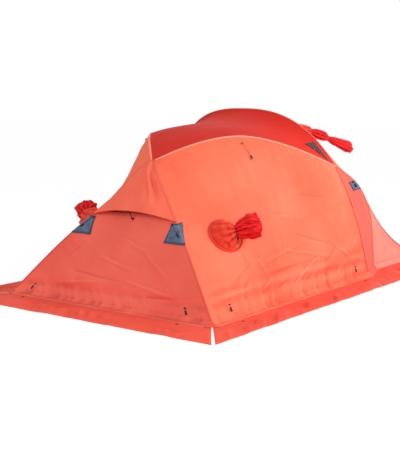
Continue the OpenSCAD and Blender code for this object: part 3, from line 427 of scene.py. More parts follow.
def gridPiece(name, points, finish, keep=None, thick=None, closed=False, facing=None):
    # a mesh from a grid of points with its own run of cloth as UV map, given a thin wall inwards
    nu, nv = points.shape[:2]
    acrossU, acrossV = runLengths(points, 0), runLengths(points, 1)
    wrap = nv if closed else nv - 1
    i, j = np.meshgrid(np.arange(nu - 1), np.arange(wrap), indexing="ij")
    jn = (j + 1) % nv
    quads = np.stack([i * nv + j, (i + 1) * nv + j, (i + 1) * nv + jn, i * nv + jn], axis=-1).reshape(-1, 4)
    flat = points.reshape(-1, 3)
    a, b, c = flat[quads[:, 0]], flat[quads[:, 1]], flat[quads[:, 2]]
    normals = np.cross(b - a, c - b)
    middle = flat[quads].mean(1)
    toward = outward(middle) if facing is None else facing(middle)
    if (normals * toward).sum() < 0:
        quads = quads[:, ::-1]
    if keep is not None:
        quads = quads[keep(middle)]
    mesh = bpy.data.meshes.new(name)
    mesh.from_pydata(flat.tolist(), [], quads.tolist())
    mesh.update()
    piece = bpy.data.objects.new(name, mesh)
    bpy.context.scene.collection.objects.link(piece)
    uv = mesh.uv_layers.new(name="clothRun")
    corner = np.zeros(len(mesh.loops), np.int64)
    mesh.loops.foreach_get("vertex_index", corner)
    run = np.stack([acrossU.ravel()[corner], acrossV.ravel()[corner]], axis=-1)
    uv.data.foreach_set("uv", run.astype(np.float32).ravel())
    mesh.materials.append(finish)
    bpy.ops.object.select_all(action="DESELECT")
    piece.select_set(True)
    bpy.context.view_layer.objects.active = piece
    bpy.ops.object.mode_set(mode="EDIT")
    bpy.ops.mesh.select_all(action="SELECT")
    bpy.ops.mesh.delete_loose()
    bpy.ops.object.mode_set(mode="OBJECT")
    bpy.ops.object.shade_smooth()
    wall = tent["clothThick"] if thick is None else thick
    if wall:
        solid = piece.modifiers.new("clothWall", "SOLIDIFY")
        solid.thickness = wall
        solid.offset = -1
        bpy.ops.object.modifier_apply(modifier=solid.name)
    piece.select_set(False)
    return piece


def clothPanel(name, cut, surface, finish, keep=None):
    # cut: cells, reach in u and v, height over the poles' line, and the folds:
    # pulls are long folds, hemFolds stand on the hem, tucks are valleys along it, creases are single lines
    u = np.linspace(*cut.get("u", (tent["seam"], 1 - tent["seam"])), cut["cells"][0] + 1)
    v = np.linspace(*cut.get("v", (tent["seam"], 1 - tent["seam"])), cut["cells"][1] + 1)
    gridU, gridV = np.meshgrid(u, v, indexing="ij")
    base = surface(gridU.ravel(), gridV.ravel())
    points = lifted(base, cut["height"]).reshape(len(u), len(v), 3)
    if "hem" in cut:  # the strip from the hem line down onto the skirt, rounded where it turns
        hem = points[:, 0]
        foot = surface(u, np.full(len(u), v[0])) + np.array(cut["hem"]) * tent["riser"]
        foot[:, 2] = tent["skirtTop"] + drape["footLift"]
        way = np.linspace(0, 1, drape["riserRows"] + 1)[:-1, None, None]
        strip = foot[None] + (hem - foot)[None] * way
        strip[..., 2] -= drape["riserSag"] * np.sin(np.pi * way[..., 0])
        points = np.concatenate([strip.transpose(1, 0, 2), points], axis=1)
    normals = gridNormals(points)
    x, y = runLengths(points, 0), runLengths(points, 1)
    far = [x, x[-1:] - x, y, y[:, -1:] - y]
    edge = np.minimum.reduce([far[k] for k in cut.get("held", (0, 1, 2, 3))])
    pin = 1 - np.exp(-(edge / drape["pinRun"]) ** drape["pinPower"])
    depth = np.zeros(x.shape)
    for angle, pitch, stretch, size, seed in cut.get("pulls", ()):
        depth += size * pullFolds(x, y, angle, pitch, stretch, seed)
    for size, pitch, fade, seed in cut.get("hemFolds", ()):
        hemWave = cloudy(x, y, (pitch, drape["hemStretch"]), seed) * np.exp(-(y / fade) ** 2)
        depth += size * hemWave * np.clip(y / drape["hemClear"], 0, 1)
    depth *= pin
    depth -= cut.get("sink", drape["sink"]) * (1 - np.exp(-edge / drape["sinkRun"]))
    flat = list(cut.get("creaseAxes", (0, 2)))  # creases are drawn on the panel as seen square on
    for start, end, width, size in cut.get("creases", ()):
        depth += crease(points[..., flat], np.array(start), np.array(end), width, size)
    for size, middle, width, seed in cut.get("tucks", ()):
        uneven = 1 + drape["tuckUneven"] * cloudy(x, y, drape["tuckPitch"], seed)
        depth -= size * uneven * np.exp(-((y - middle) / width) ** 2) * pin
    points = points + normals * depth[..., None]
    if "hem" in cut:  # the riser lies on the skirt and never under it
        points[..., 2] = np.maximum(points[..., 2], tent["skirtTop"] + drape["lowest"])
    return gridPiece(name, points, finish, keep)


# ---- finishes ----
weave = {
    "blotchDetail": 3.0, "blotchFrom": 0.30, "blotchTo": 0.80, "threadWidth": 0.07, "threadShow": 0.10,
    "stitchShare": 0.13, "crinkle": 26.0, "crinkleDetail": 4.0, "bump": 0.12, "bumpHeight": 0.002,
    "specular": 0.10, "sheenRough": 0.5, "ior": 1.5,
    # the two fold tints below: painted shade in the valleys of the folds, painted highlight on their ridges,
    # read from pointiness
    "paintedValleyShade": {"from": 0.497, "to": 0.470, "most": 0.55, "deepen": 0.50, "add": 0.0},
    "ridge": {"from": 0.503, "to": 0.530, "most": 0.40, "deepen": 1.25, "add": 0.03},
}


# the colour of the painted fold shade or the painted ridge highlight
def paintedFoldTone(hexColour, fold):
    return [min(1, fold["deepen"] * c + fold["add"]) for c in linearColour(hexColour)[:3]] + [1]


def clothFinish(name, colour, shade, sheen=0.04, roughness=0.66, ripstop=0.012, blotches=2.2, edge=None):
    # coated nylon: woven, calendered and coated, so a soft broad sheen over a fine grid of thicker threads
    material, tree = newFinish(name)
    run = addNode(tree, "UVMap", uv_map="clothRun")
    place = addNode(tree, "TexCoord")
    blotch = addNoise(tree, place, blotches, weave["blotchDetail"])
    tone = addRamp(tree, blotch, shade, colour, weave["blotchFrom"], weave["blotchTo"])
    split = addNode(tree, "SeparateXYZ", {"Vector": run.outputs["UV"]})
    lines = []
    for axis in ("X", "Y"):  # ripstop threads, really 5 mm apart, drawn wider so that they show
        wave = addMath(tree, "PINGPONG", addMath(tree, "DIVIDE", split.outputs[axis], ripstop), 0.5)
        lines.append(addMath(tree, "LESS_THAN", wave, weave["threadWidth"]))
    threads = addMath(tree, "MAXIMUM", *lines)
    dyedWithPaintedFoldLight = addTint(tree, addMath(tree, "MULTIPLY", threads, weave["threadShow"]), tone, linearColour(shade))
    if edge is not None:  # rows of stitching along both long edges of a narrow strip
        width, edgeColour = edge
        fromEdge = addMath(tree, "PINGPONG", split.outputs["Y"], width / 2)
        stitched = addMath(tree, "LESS_THAN", fromEdge, width * weave["stitchShare"])
        dyedWithPaintedFoldLight = addTint(tree, stitched, dyedWithPaintedFoldLight, linearColour(edgeColour))
    bend = addNode(tree, "NewGeometry").outputs["Pointiness"]
    for fold, foldLightHex in ((weave["paintedValleyShade"], shade), (weave["ridge"], colour)):  # painted shade darkens the folds and a painted highlight lightens the ridges, read from the mesh's pointiness
        amount = addNode(tree, "MapRange", {"Value": bend, "From Min": fold["from"], "From Max": fold["to"],
                                            "To Min": 0.0, "To Max": fold["most"]})
        dyedWithPaintedFoldLight = addTint(tree, amount.outputs[0], dyedWithPaintedFoldLight, paintedFoldTone(foldLightHex, fold))
    crinkle = addNoise(tree, place, weave["crinkle"], weave["crinkleDetail"])
    bump = addBump(tree, addMath(tree, "ADD", threads, crinkle), weave["bump"], weave["bumpHeight"])
    addSurface(tree, {"Base Color": dyedWithPaintedFoldLight, "Roughness": roughness, "IOR": weave["ior"], "Normal": bump,
                      "Sheen Weight": sheen, "Sheen Roughness": weave["sheenRough"],
                      "Specular IOR Level": weave["specular"]})
    return material


finishes = {
    "side": clothFinish("coatedRipstopNylonCoral", "#FF8263", "#F8684B"),
    # deeper red than the sides: painted shade on the roof, which is the same cloth as the sides
    "roof": clothFinish("coatedRipstopNylonPaintedRoofShade", "#E33022", "#CF261B"),
    # a darker copy of the side cloth: painted shade on the back face
    "back": clothFinish("coatedRipstopNylonPaintedBackShade", "#FF7662", "#F06252"),
    "hood": clothFinish("coatedRipstopNylonSalmon", "#FF7A60", "#F8634C"),
    # a darker copy of the side cloth: painted shade where the band turns away
    "band": clothFinish("coatedRipstopNylonPaintedBandShade", "#F36A58", "#E25647"),
    # paler than the side cloth: painted light shining through the thin vestibule cloth
    "porch": clothFinish("thinCoatedNylonPaintedLitThrough", "#F4988A", "#EA8272"),
    "skirt": clothFinish("coatedSkirtNylon", "#F65B45", "#E44B38"),
    "sleeve": clothFinish("thinVentNylonRed", "#F01A1E", "#CF1216"),
    # darker than the panel cloth it is cut from: painted shade on the sleeve's base cone
    "cone": clothFinish("thinVentNylonPaintedConeShade", "#EC4530", "#D43424"),
    "seamTape": clothFinish("flatFelledSeam", "#F0644C", "#E05540", ripstop=0.004, edge=(0.022, "#B23A2E")),
    "paleSeam": clothFinish("paleFelledSeam", "#FF9A80", "#F88468", ripstop=0.004),
    "patchEdge": clothFinish("wovenPatchBinding", "#3C4F6A", "#30415A", ripstop=0.004),
    "hemTape": clothFinish("boundHemTape", "#F2472F", "#DD3A28", ripstop=0.004),
    "patch": clothFinish("wovenPatchPolyester", "#75859A", "#4B5A72", ripstop=0.005, blotches=24.0),
    "inner": clothFinish("breathableInnerNylon", "#F0D38C", "#E6C47A", ripstop=0.008),
    "innerDoor": clothFinish("breathableDoorNylon", "#EDBE6C", "#E0AE5A", ripstop=0.008),
    "groundsheet": clothFinish("coatedGroundsheetNylon", "#55585E", "#474A50", ripstop=0.010),
}
print("cloth finishes ready:", len(finishes))

# ---- fly ----
flyTop = tent["flyTop"]
flyCuts = {
    "sidePanel": {
        "cells": (250, 160), "height": flyTop, "hem": (0, -1, 0), "held": (0, 1, 3),
        "tucks": ((0.016, 0.150, 0.035, 25), (0.009, 0.240, 0.030, 27)),
        "pulls": ((62, 0.18, 0.9, 0.0075, 3), (14, 0.09, 0.8, 0.0055, 11), (100, 0.055, 0.30, 0.0030, 5)),
        "hemFolds": ((0.0150, 0.085, 0.20, 21), (0.0080, 0.045, 0.15, 23)), "sink": 0.008,
    },
    "roofPanel": {
        "cells": (110, 110), "height": flyTop, "u": (0.012, 0.9996),
        "pulls": ((0, 0.20, 1.2, 0.0035, 31), (8, 0.09, 0.7, 0.0014, 33)),
    },
    "backPanel": {
        "cells": (180, 130), "height": flyTop, "hem": (-1, 0, 0), "held": (0, 1), "creaseAxes": (1, 2),
        "tucks": ((0.015, 0.140, 0.035, 49),),
        "pulls": ((90, 0.22, 0.9, 0.0070, 41), (68, 0.09, 0.5, 0.0040, 43)),
        "hemFolds": ((0.0140, 0.100, 0.18, 45), (0.0075, 0.050, 0.14, 47)), "sink": 0.007,
    },
    "backHood": {
        "cells": (90, 120), "height": tent["hoodTop"], "u": (0.02, 0.9996), "held": (2, 3), "sink": 0.001,
        "creaseAxes": (1, 2),
        "pulls": ((0, 0.10, 0.5, 0.0055, 51),),
    },
    "frontHood": {
        "cells": (50, 120), "height": tent["hoodTop"], "held": (0, 2, 3), "sink": 0.001,
        "pulls": ((0, 0.15, 0.6, 0.0025, 61),),
    },
    "bandPanel": {
        "cells": (80, 110), "height": flyTop, "held": (0, 1, 3), "hem": (0, -1, 0), "v": (0.0004, 0.985),
        "pulls": ((80, 0.12, 0.8, 0.0034, 71), (90, 0.06, 0.3, 0.0012, 73)),
        "hemFolds": ((0.0040, 0.070, 0.12, 75),),
    },
    "porchRoof": {
        "cells": (40, 110), "height": flyTop,
        "pulls": ((0, 0.14, 0.6, 0.0050, 81), (60, 0.11, 0.8, 0.004, 83)),
    },
    "wing": {
        "cells": (60, 60), "height": flyTop, "u": (0.006, 0.97), "hem": (0, -1, 0), "held": (0, 3),
        "pulls": ((70, 0.10, 0.5, 0.0020, 91),), "hemFolds": ((0.0040, 0.070, 0.12, 93),),
    },
}
sides = ((False, "Near"), (True, "Far"))  # the far side is the mirror of the near side


def rideTent(piece, node=None):
    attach(piece, "tent")
    if node:
        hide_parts(node)
    return piece


def layFly(name, node, cut, surface, finish, keep=None):
    return rideTent(clothPanel(name, cut, surface, finishes[finish], keep), node)


sleeveRoots = {"side": (-0.52666, -0.61627, 0.49365), "front": (0.72157, -0.40186, 1.18347)}
sleeveHoles = {"side": 0.064, "front": 0.036}
farSeeds = {"fly": 200, "inner": 40}


def clearOf(centre, radius):
    # keeps the cloth that is outside a sleeve's hole
    return lambda middle: np.linalg.norm(middle - np.array(centre), axis=1) > radius


def reseeded(cut, step):
    # the far side's folds differ from the near side's
    other = dict(cut)
    other["pulls"] = tuple(p[:4] + (p[4] + step,) for p in cut["pulls"])
    other["hemFolds"] = tuple(p[:3] + (p[3] + step,) for p in cut.get("hemFolds", ()))
    if "hem" in cut:
        other["hem"] = (cut["hem"][0], -cut["hem"][1], cut["hem"][2])
    return other


def layBoth(name, node, cut, surface, finish, step, hole=None, radius=0):
    # the near panel, then its mirror on the far side, round a sleeve's hole if there is one
    for mirrored, tag in sides:
        keep = None if hole is None else clearOf(onSide(hole, mirrored), radius)
        layFly(name + tag, node + "_" + tag.lower(), reseeded(cut, step) if mirrored else cut,
               mirrorOf(surface) if mirrored else surface, finish, keep)


def slanted(lines, width, deepen):
    # lines: across and up where the crease starts, its run and climb, its depth
    return tuple(((at, z), (at + run, z + climb), width, deepen * depth)
                 for at, z, run, climb, depth in lines)


peakAlong, peakAcross = (-0.567, 1.003), (0, 1.003)  # the peak seen from the side and from the back
sideCreases = (
    (-0.30, 0.30, 0.55, 0.10, 0.0030), (-0.22, 0.22, 0.62, 0.04, -0.0030), (-0.05, 0.36, 0.60, -0.12, 0.0028),
    (0.10, 0.46, 0.55, -0.16, -0.0026), (0.05, 0.14, 0.40, 0.16, 0.0034), (0.32, 0.12, 0.34, 0.22, -0.0034),
    (0.55, 0.34, 0.36, -0.20, 0.0034), (-0.70, 0.20, 0.30, 0.12, -0.0030), (-0.86, 0.14, 0.36, 0.02, 0.0034),
    (0.72, 0.14, 0.25, 0.30, 0.0030), (-0.15, 0.62, 0.70, -0.10, 0.0022), (0.25, 0.74, 0.50, -0.08, -0.0022),
    (-0.62, 0.16, 0.14, 0.07, -0.0036), (-0.40, 0.12, 0.16, 0.08, 0.0034), (-0.20, 0.11, 0.15, 0.06, -0.0038),
    (0.00, 0.10, 0.14, 0.09, 0.0036), (0.16, 0.11, 0.12, 0.08, -0.0036), (0.30, 0.09, 0.12, 0.10, 0.0038),
    (0.46, 0.10, 0.13, 0.08, -0.0036), (0.60, 0.09, 0.12, 0.09, 0.0036), (-0.36, 0.34, 0.10, -0.20, 0.0040),
)
backCreases = (
    (0.55, 0.12, -0.50, 0.06, 0.0040), (0.40, 0.22, -0.55, -0.04, -0.0036),
    (0.20, 0.34, -0.50, -0.10, 0.0034), (-0.10, 0.20, -0.55, -0.08, 0.0044),
    (-0.30, 0.12, -0.45, 0.02, -0.0044), (-0.20, 0.40, -0.35, -0.20, 0.0034),
    (0.50, 0.30, -0.20, 0.18, -0.0030), (0.05, 0.48, -0.40, -0.12, 0.0030),
)
flyCuts["sidePanel"]["creases"] = (
    (peakAlong, (-0.53, 0.62), 0.030, -0.004), ((0.45, 0.62), (0.95, 0.10), 0.035, 0.004),
    ((-0.98, 0.06), (-0.55, 0.30), 0.030, 0.003), ((-0.46, 0.42), (-0.44, 0.28), 0.012, 0.005),
) + slanted(sideCreases, 0.012, 1.9)
flyCuts["backPanel"]["creases"] = slanted(backCreases, 0.013, 1.7)
flyCuts["backHood"]["creases"] = (
    (peakAcross, (-0.200, 0.70), 0.016, -0.012), (peakAcross, (-0.150, 0.70), 0.014, 0.009),
    (peakAcross, (-0.070, 0.70), 0.020, 0.006), (peakAcross, (0.03, 0.70), 0.018, -0.004),
    (peakAcross, (0.16, 0.68), 0.020, 0.005),
)
layBoth("flySide", "side_panel", flyCuts["sidePanel"], sideAt, "side", farSeeds["fly"], sleeveRoots["side"],
        sleeveHoles["side"])
layFly("flyRoof", "roof_panel", flyCuts["roofPanel"], roofClothAt, "roof")
layFly("flyBack", "back_panel", flyCuts["backPanel"], backAt, "back")
layFly("flyBackHood", "back_hood", flyCuts["backHood"], backHoodAt, "hood")
layFly("flyFrontHood", "front_hood", flyCuts["frontHood"], frontHoodAt, "hood",
       keep=clearOf(sleeveRoots["front"], sleeveHoles["front"]))


def bandTurned(u, v):
    return bandAt(1 - v, u)


layBoth("flyBand", "band", flyCuts["bandPanel"], bandTurned, "band", farSeeds["fly"])
layFly("porchRoofSheet", "vestibule_roof", flyCuts["porchRoof"], porchRoofAt, "porch")
layBoth("porchWing", "wing", flyCuts["wing"], wingAt, "porch", farSeeds["fly"])
print("fly panels laid")

# ---- vestibule front and door ----
porch = {"height": 0.0133368, "half": 0.79275, "first": 0.0075, "doorHalf": 0.450, "gap": 0.001,
         "doorFrom": 0.09, "doorTo": 0.93, "fold": 0.0018, "zipAt": 0.458, "zipCalm": 0.025, "pinRun": 0.05,
         "rows": (6, 60, 6), "columns": (22, 50, 22), "doorCells": 70, "seed": 101, "doorSeed": 111,
         "pulls": ((8, 0.16, 0.9, 1.0, 0), (-14, 0.08, 0.5, 0.6, 3))}


def shellAt(s, y, d):
    # on the vestibule's hollow front: s runs down it, d stands off it
    a = porchStart + porchSweep * s
    r = porchRadius - d
    return np.stack([porchCentre[0] + r * np.cos(a), y, porchCentre[2] + r * np.sin(a)], axis=-1)


def shellPiece(name, ss, ys, finish, seed, keep=None):
    s, y = np.meshgrid(ss, ys, indexing="ij")
    run = s * porchRadius * abs(porchSweep)
    folds = sum(size * pullFolds(run, y, angle, pitch, stretch, seed + step)
                for angle, pitch, stretch, size, step in porch["pulls"])
    edge = np.minimum.reduce([y - ys[0], ys[-1] - y, run - run[0, 0], run[-1, 0] - run])
    pin = 1 - np.exp(-edge / porch["pinRun"])
    # flat where the zip sliders run
    calm = 1 - np.exp(-((np.abs(y) - porch["zipAt"]) / porch["zipCalm"]) ** 2)
    points = shellAt(s, y, porch["height"] + porch["fold"] * (folds + 1) * pin * calm)
    return gridPiece(name, points, finishes[finish], keep, facing=lambda m: porchCentre - m)


doorEdge = porch["gap"] / (porchRadius * abs(porchSweep))
openFrom, openTo = porch["doorFrom"] - doorEdge, porch["doorTo"] + doorEdge
openHalf = porch["doorHalf"] + porch["gap"]
openLow = shellAt(np.array(openFrom), np.array(0.0), porch["height"])[0]
openHigh = shellAt(np.array(openTo), np.array(0.0), porch["height"])[0]


def gridStops(corners, counts):
    # evenly spaced from each corner to the next, with a stop on every corner
    runs = [np.linspace(a, b, n) for a, b, n in zip(corners, corners[1:], counts)]
    return np.concatenate(runs[:1] + [run[1:] for run in runs[1:]])


def outsideDoor(m):
    return ~((np.abs(m[:, 1]) < openHalf) & (m[:, 0] > openLow) & (m[:, 0] < openHigh))


frontS = gridStops((porch["first"], openFrom, openTo, 1), porch["rows"])
frontY = gridStops((-porch["half"], -openHalf, openHalf, porch["half"]), porch["columns"])
rideTent(shellPiece("porchFrontSheet", frontS, frontY, "porch", porch["seed"], outsideDoor),
         "vestibule_front")
doorSheet = shellPiece("porchDoorSheet", np.linspace(porch["doorFrom"], porch["doorTo"], porch["doorCells"]),
                       np.linspace(-porch["doorHalf"], porch["doorHalf"], porch["doorCells"]), "porch",
                       porch["doorSeed"])
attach(doorSheet, "vestibule_door")
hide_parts("vestibule_door")
print("vestibule front and door laid")

# ---- skirts ----
skirtCut = {"cells": 190, "across": 26, "lift": 0.0050, "ripple": 0.0170, "flatInside": 0.22, "riseOver": 0.4,
            "outerDrop": 0.85, "outerPower": 5, "endShare": 0.12, "endRun": 0.08,
            "edgeWave": 0.003, "edgePitch": 0.10, "edgePower": 3,
            "long": (0.13, 0.30), "short": (0.055, 0.20), "shortShare": 0.5,
            "pull": (35, 0.09, 0.4), "pullShare": 0.8, "least": -0.5, "most": 1.4, "seed": 121}
pegHoles = [(x, side * 1.0) for x in (-0.850, 0.880) for side in (-1, 1)]
pegHoles += [(-1.180, y) for y in (-0.700, 0.740)]
pegHole = {"radius": 0.009, "calm": 0.05, "within": 0.02, "deep": 0.05, "sides": 32}
skirtLines = {
    "skirtNear": ([(-1.119, -0.945), (1.090, -0.945)], [(-1.458, -1.210), (0.755, -1.210)]),
    "skirtNearPorch": ([(1.0865, -0.945), (1.46, -0.821), (2.19, -0.821)],
                       [(0.761, -1.210), (1.50, -1.210), (2.21, -1.086)]),
    "skirtBack": ([(-1.125, -0.939), (-1.125, 0.939)], [(-1.476, -1.192), (-1.476, 1.192)]),
}
skirtLines["skirtFar"] = tuple([(x, -y) for x, y in line] for line in skirtLines["skirtNear"])
skirtLines["skirtFarPorch"] = tuple([(x, -y) for x, y in line] for line in skirtLines["skirtNearPorch"])


def polyline(corners, t):
    # straight from corner to corner
    corners = np.array(corners, float)
    stops = np.linspace(0, 1, len(corners))
    return np.stack([np.interp(t, stops, corners[:, k]) for k in (0, 1)], axis=-1)


def punchHole(piece, hole):
    # an open hole where a peg eyelet sits
    bpy.ops.mesh.primitive_cylinder_add(vertices=pegHole["sides"], radius=pegHole["radius"],
                                        depth=pegHole["deep"], location=(hole[0], hole[1], 0))
    punch = bpy.context.object
    punched = piece.modifiers.new("pegHole", "BOOLEAN")
    punched.object = punch
    punched.operation = "DIFFERENCE"
    bpy.context.view_layer.objects.active = piece
    bpy.ops.object.modifier_apply(modifier=punched.name)
    bpy.data.objects.remove(punch)


def skirtPiece(name, inner, outer, seed):
    cut = skirtCut
    t, w = np.linspace(0, 1, cut["cells"] + 1), np.linspace(0, 1, cut["across"] + 1)
    a, b = polyline(inner, t), polyline(outer, t)
    flat = a[:, None] + (b - a)[:, None] * w[None, :, None]
    x, y = runLengths(np.dstack([flat, np.zeros(flat.shape[:2])]), 0), runLengths(flat, 1)
    rise = np.clip((w - cut["flatInside"]) / cut["riseOver"], 0, 1)
    rise = rise * (1 - cut["outerDrop"] * w ** cut["outerPower"])
    folds = cloudy(x, y, cut["long"], seed) + cut["shortShare"] * cloudy(x, y, cut["short"], seed + 1)
    folds += cut["pullShare"] * pullFolds(x, y, *cut["pull"], seed + 2)
    high = (cut["lift"] + cut["ripple"] * np.clip(folds, cut["least"], cut["most"])) * rise[None]
    end = np.minimum(x, x[-1:] - x)
    high *= cut["endShare"] + (1 - cut["endShare"]) * (1 - np.exp(-(end / cut["endRun"]) ** 2))
    away = [np.linalg.norm(flat - np.array(hole), axis=-1) for hole in pegHoles]
    for far in away:
        high *= 1 - np.exp(-(far / pegHole["calm"]) ** 2)
    high = tent["skirtTop"] + np.clip(high, 0, None)
    ragged = softNoise(x / cut["edgePitch"], y * 0, seed + 4) * w[None] ** cut["edgePower"]
    out = unitRows(b - a)[:, None] * (cut["edgeWave"] * ragged)[..., None]
    piece = gridPiece(name, np.dstack([flat + out, high]), finishes["skirt"],
                      facing=lambda m: np.array([0, 0, 1.0]))
    for hole, far in zip(pegHoles, away):
        if far.min() <= pegHole["within"]:
            punchHole(piece, hole)
    return rideTent(piece)


skirtPieces = [skirtPiece(name, *skirtLines[name], seed=skirtCut["seed"] + 10 * k)
               for k, name in enumerate(sorted(skirtLines))]
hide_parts("skirts")
gussetCut = {"turn": (-6, 96, 24), "rows": 12, "past": 0.008, "footLift": 0.0028, "sag": 0.005,
             "lift": 0.0012, "crumple": 0.002, "pitch": (0.25, 0.5), "seed": 141}


def gussetPiece(name, mirrored):
    # rounds the hem's corner, from the end of the side's riser to the end of the back's
    turn = np.radians(np.linspace(*gussetCut["turn"]))[:, None]
    drop = np.linspace(0, 1, gussetCut["rows"])[None]
    top = lifted(backCorner, flyTop)
    footReach = tent["riser"] + gussetCut["past"]
    foot = np.dstack([backCorner[0] - footReach * np.sin(turn), backCorner[1] - footReach * np.cos(turn),
                      np.full(turn.shape, tent["skirtTop"] + gussetCut["footLift"])])
    points = foot + (top - foot) * drop[..., None]
    crumple = gussetCut["crumple"] * cloudy(turn, drop, gussetCut["pitch"], gussetCut["seed"])
    points[..., 2] += gussetCut["lift"] + (crumple - gussetCut["sag"]) * np.sin(np.pi * drop)
    return rideTent(gridPiece(name, onSide(points, mirrored), finishes["skirt"]))


for mirrored, tag in sides:
    gussetPiece("hemGusset" + tag, mirrored)
print("skirts laid:", len(skirtPieces))

# ---- vent sleeves ----
sleeves = {
    "Near": {"from": sleeveRoots["side"], "normal": (-0.26633, -0.74675, 0.60946), "lift": 0.0135,
             "mouth": (-0.39466, -0.82127, 0.57565), "pleats": 11, "seed": 4,
             "profile": ((0, 0.136), (0.05, 0.119), (0.20, 0.098), (0.38, 0.072), (0.45, 0.052),
                         (0.50, 0.034), (0.56, 0.050), (0.70, 0.068), (0.86, 0.086), (1, 0.076))},
    "Front": {"from": sleeveRoots["front"], "normal": (0.69247, -0.17902, 0.69889), "lift": 0.01404,
              "mouth": (1.50157, -0.49186, 1.01347), "pleats": 9, "seed": 9,
              "profile": ((0, 0.050), (0.08, 0.042), (0.22, 0.040), (0.42, 0.036), (0.50, 0.0235),
                          (0.58, 0.036), (0.68, 0.037), (0.76, 0.020), (0.84, 0.034), (0.93, 0.042),
                          (1, 0.047))},
}
sleeves["Far"] = dict(sleeves["Near"], seed=14)
for key in ("from", "normal", "mouth"):
    sleeves["Far"][key] = tuple(flipped(sleeves["Near"][key]))
sleeveReach = 0.070  # the sleeve leaves its panel square to the cloth
throatAt = 0.5
gathers = {"spokes": 96, "step": 0.004, "spread": 0.22, "pleat": 0.16, "pleatRest": 0.03, "twist": 3,
           "lobes": 3, "lobe": 0.07, "lobeTwist": 5, "lobeFrom": 0.3, "baseRun": 0.12, "samples": 60,
           "mouthWave": 0.30, "mouthWaves": 2, "mouthPower": 4, "overlap": 0.02,
           "coneCrumple": 0.05, "mouthCrumple": 0.17, "coneRows": 34, "mouthRows": 40}
# around the sleeve, offset, the two drifts along it, share
crumples = ((3, 9, 6, 4, 1.0), (7, 20, 15, 0, 0.5))
# room the cord lock slides through
lockRoom = {"below": 0.002, "above": 0.007, "around": 0.004, "soft": 0.01}


def sleeveAxis(k, s):
    # square to the cloth at first, then over to the mouth
    start, normal = np.array(k["from"]), np.array(k["normal"])
    a, c, b = start + normal * k["lift"], start + normal * (k["lift"] + sleeveReach), np.array(k["mouth"])
    s = np.asarray(s, float)[..., None]
    return (a * (1 - s) + c * s) * (1 - s) + (c * (1 - s) + b * s) * s


def lockDents(points, lock):
    # the lock dents the gathers that it slides past
    low, high = (np.array(corner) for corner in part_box("sleeve_lock_" + lock))
    low, high = low - [0, 0, lockRoom["below"]], high + [0, 0, lockRoom["above"]]
    spread = points[..., :2] - (low + high)[:2] / 2
    away = np.linalg.norm(spread, axis=-1)
    level = np.clip((points[..., 2] - low[2]) / lockRoom["soft"] + 1, 0, 1)
    level *= np.clip((high[2] - points[..., 2]) / lockRoom["soft"] + 1, 0, 1)
    push = np.clip((high - low)[:2].max() / 2 + lockRoom["around"] - away, 0, None) * level
    return spread / np.maximum(away, 1e-6)[..., None] * push[..., None]


def sleevePart(name, k, s, finish, ragged, lock):
    centre = sleeveAxis(k, s)
    way = unitRows(sleeveAxis(k, s + gathers["step"]) - sleeveAxis(k, s - gathers["step"]))
    side = unitRows(np.cross(np.array([0, 0, 1.0]), way))
    up = np.cross(way, side)
    turn = np.linspace(0, 2 * math.pi, gathers["spokes"] + 1)[:-1]
    stops, radii = np.array(k["profile"]).T
    at = np.clip(np.searchsorted(stops, s, "right") - 1, 0, len(stops) - 2)
    share = (s - stops[at]) / (stops[at + 1] - stops[at])
    radius = radii[at] + (radii[at + 1] - radii[at]) * share ** 2 * (3 - 2 * share)
    gather = np.exp(-((s - throatAt) / gathers["spread"]) ** 2)
    t, g = np.meshgrid(turn, gather, indexing="xy")
    sv = np.broadcast_to(s[:, None], t.shape)
    pleat = np.cos(k["pleats"] * t + gathers["twist"] * sv + k["seed"])
    pleat *= gathers["pleat"] * g + gathers["pleatRest"]
    lobe = np.cos(gathers["lobes"] * t + k["seed"] + gathers["lobeTwist"] * sv)
    pleat += gathers["lobe"] * lobe * np.clip(sv / gathers["lobeFrom"], 0, 1)
    crumple = ragged * sum(
        share * softNoise(np.cos(t) * size + offset + sv * driftX, np.sin(t) * size + offset + sv * driftY,
                          k["seed"] + step)
        for step, (size, offset, driftX, driftY, share) in enumerate(crumples))
    r = radius[:, None] * (1 + (pleat + crumple) * np.clip(sv / gathers["baseRun"], 0, 1))
    points = (centre[:, None] + side[:, None] * (r * np.cos(t))[..., None]
              + up[:, None] * (r * np.sin(t))[..., None])
    mouthWave = softNoise(t * gathers["mouthWaves"], sv * 0 + 2, k["seed"] + 5) * sv ** gathers["mouthPower"]
    mouthWave *= gathers["mouthWave"] * ragged
    points = points + way[:, None] * (radius[:, None] * mouthWave)[..., None]
    points[..., :2] += lockDents(points, lock)
    sample = sleeveAxis(k, np.linspace(0, 1, gathers["samples"]))

    def awayFromAxis(m):
        d = np.linalg.norm(m[:, None] - sample[None], axis=-1)
        return m - sample[np.argmin(d, axis=1)]
    return gridPiece(name, points, finishes[finish], closed=True, facing=awayFromAxis)


for which in ("Near", "Far", "Front"):
    lock = which.lower()
    coneRun = np.linspace(0, throatAt + gathers["overlap"], gathers["coneRows"])
    mouthRun = np.linspace(throatAt, 1, gathers["mouthRows"])
    rideTent(sleevePart("ventCone" + which, sleeves[which], coneRun, "cone", gathers["coneCrumple"], lock),
             "vent_sleeve_" + lock)
    rideTent(sleevePart("ventMouth" + which, sleeves[which], mouthRun, "sleeve", gathers["mouthCrumple"],
                        lock))
print("vent sleeves sewn on")

# ---- seams, hems and patches ----
# arch: how far a seam stands off the cloth at its middle, half way and at its edge, in rises
seamCut = {"half": 0.011, "rise": 0.0009, "steps": 120, "thick": 0.0006, "over": 0.002,
           "arch": {0: 2.0, 0.5: 1.4, 1.0: 0.2}}


def ones(s, value):
    return np.full(len(s), value)


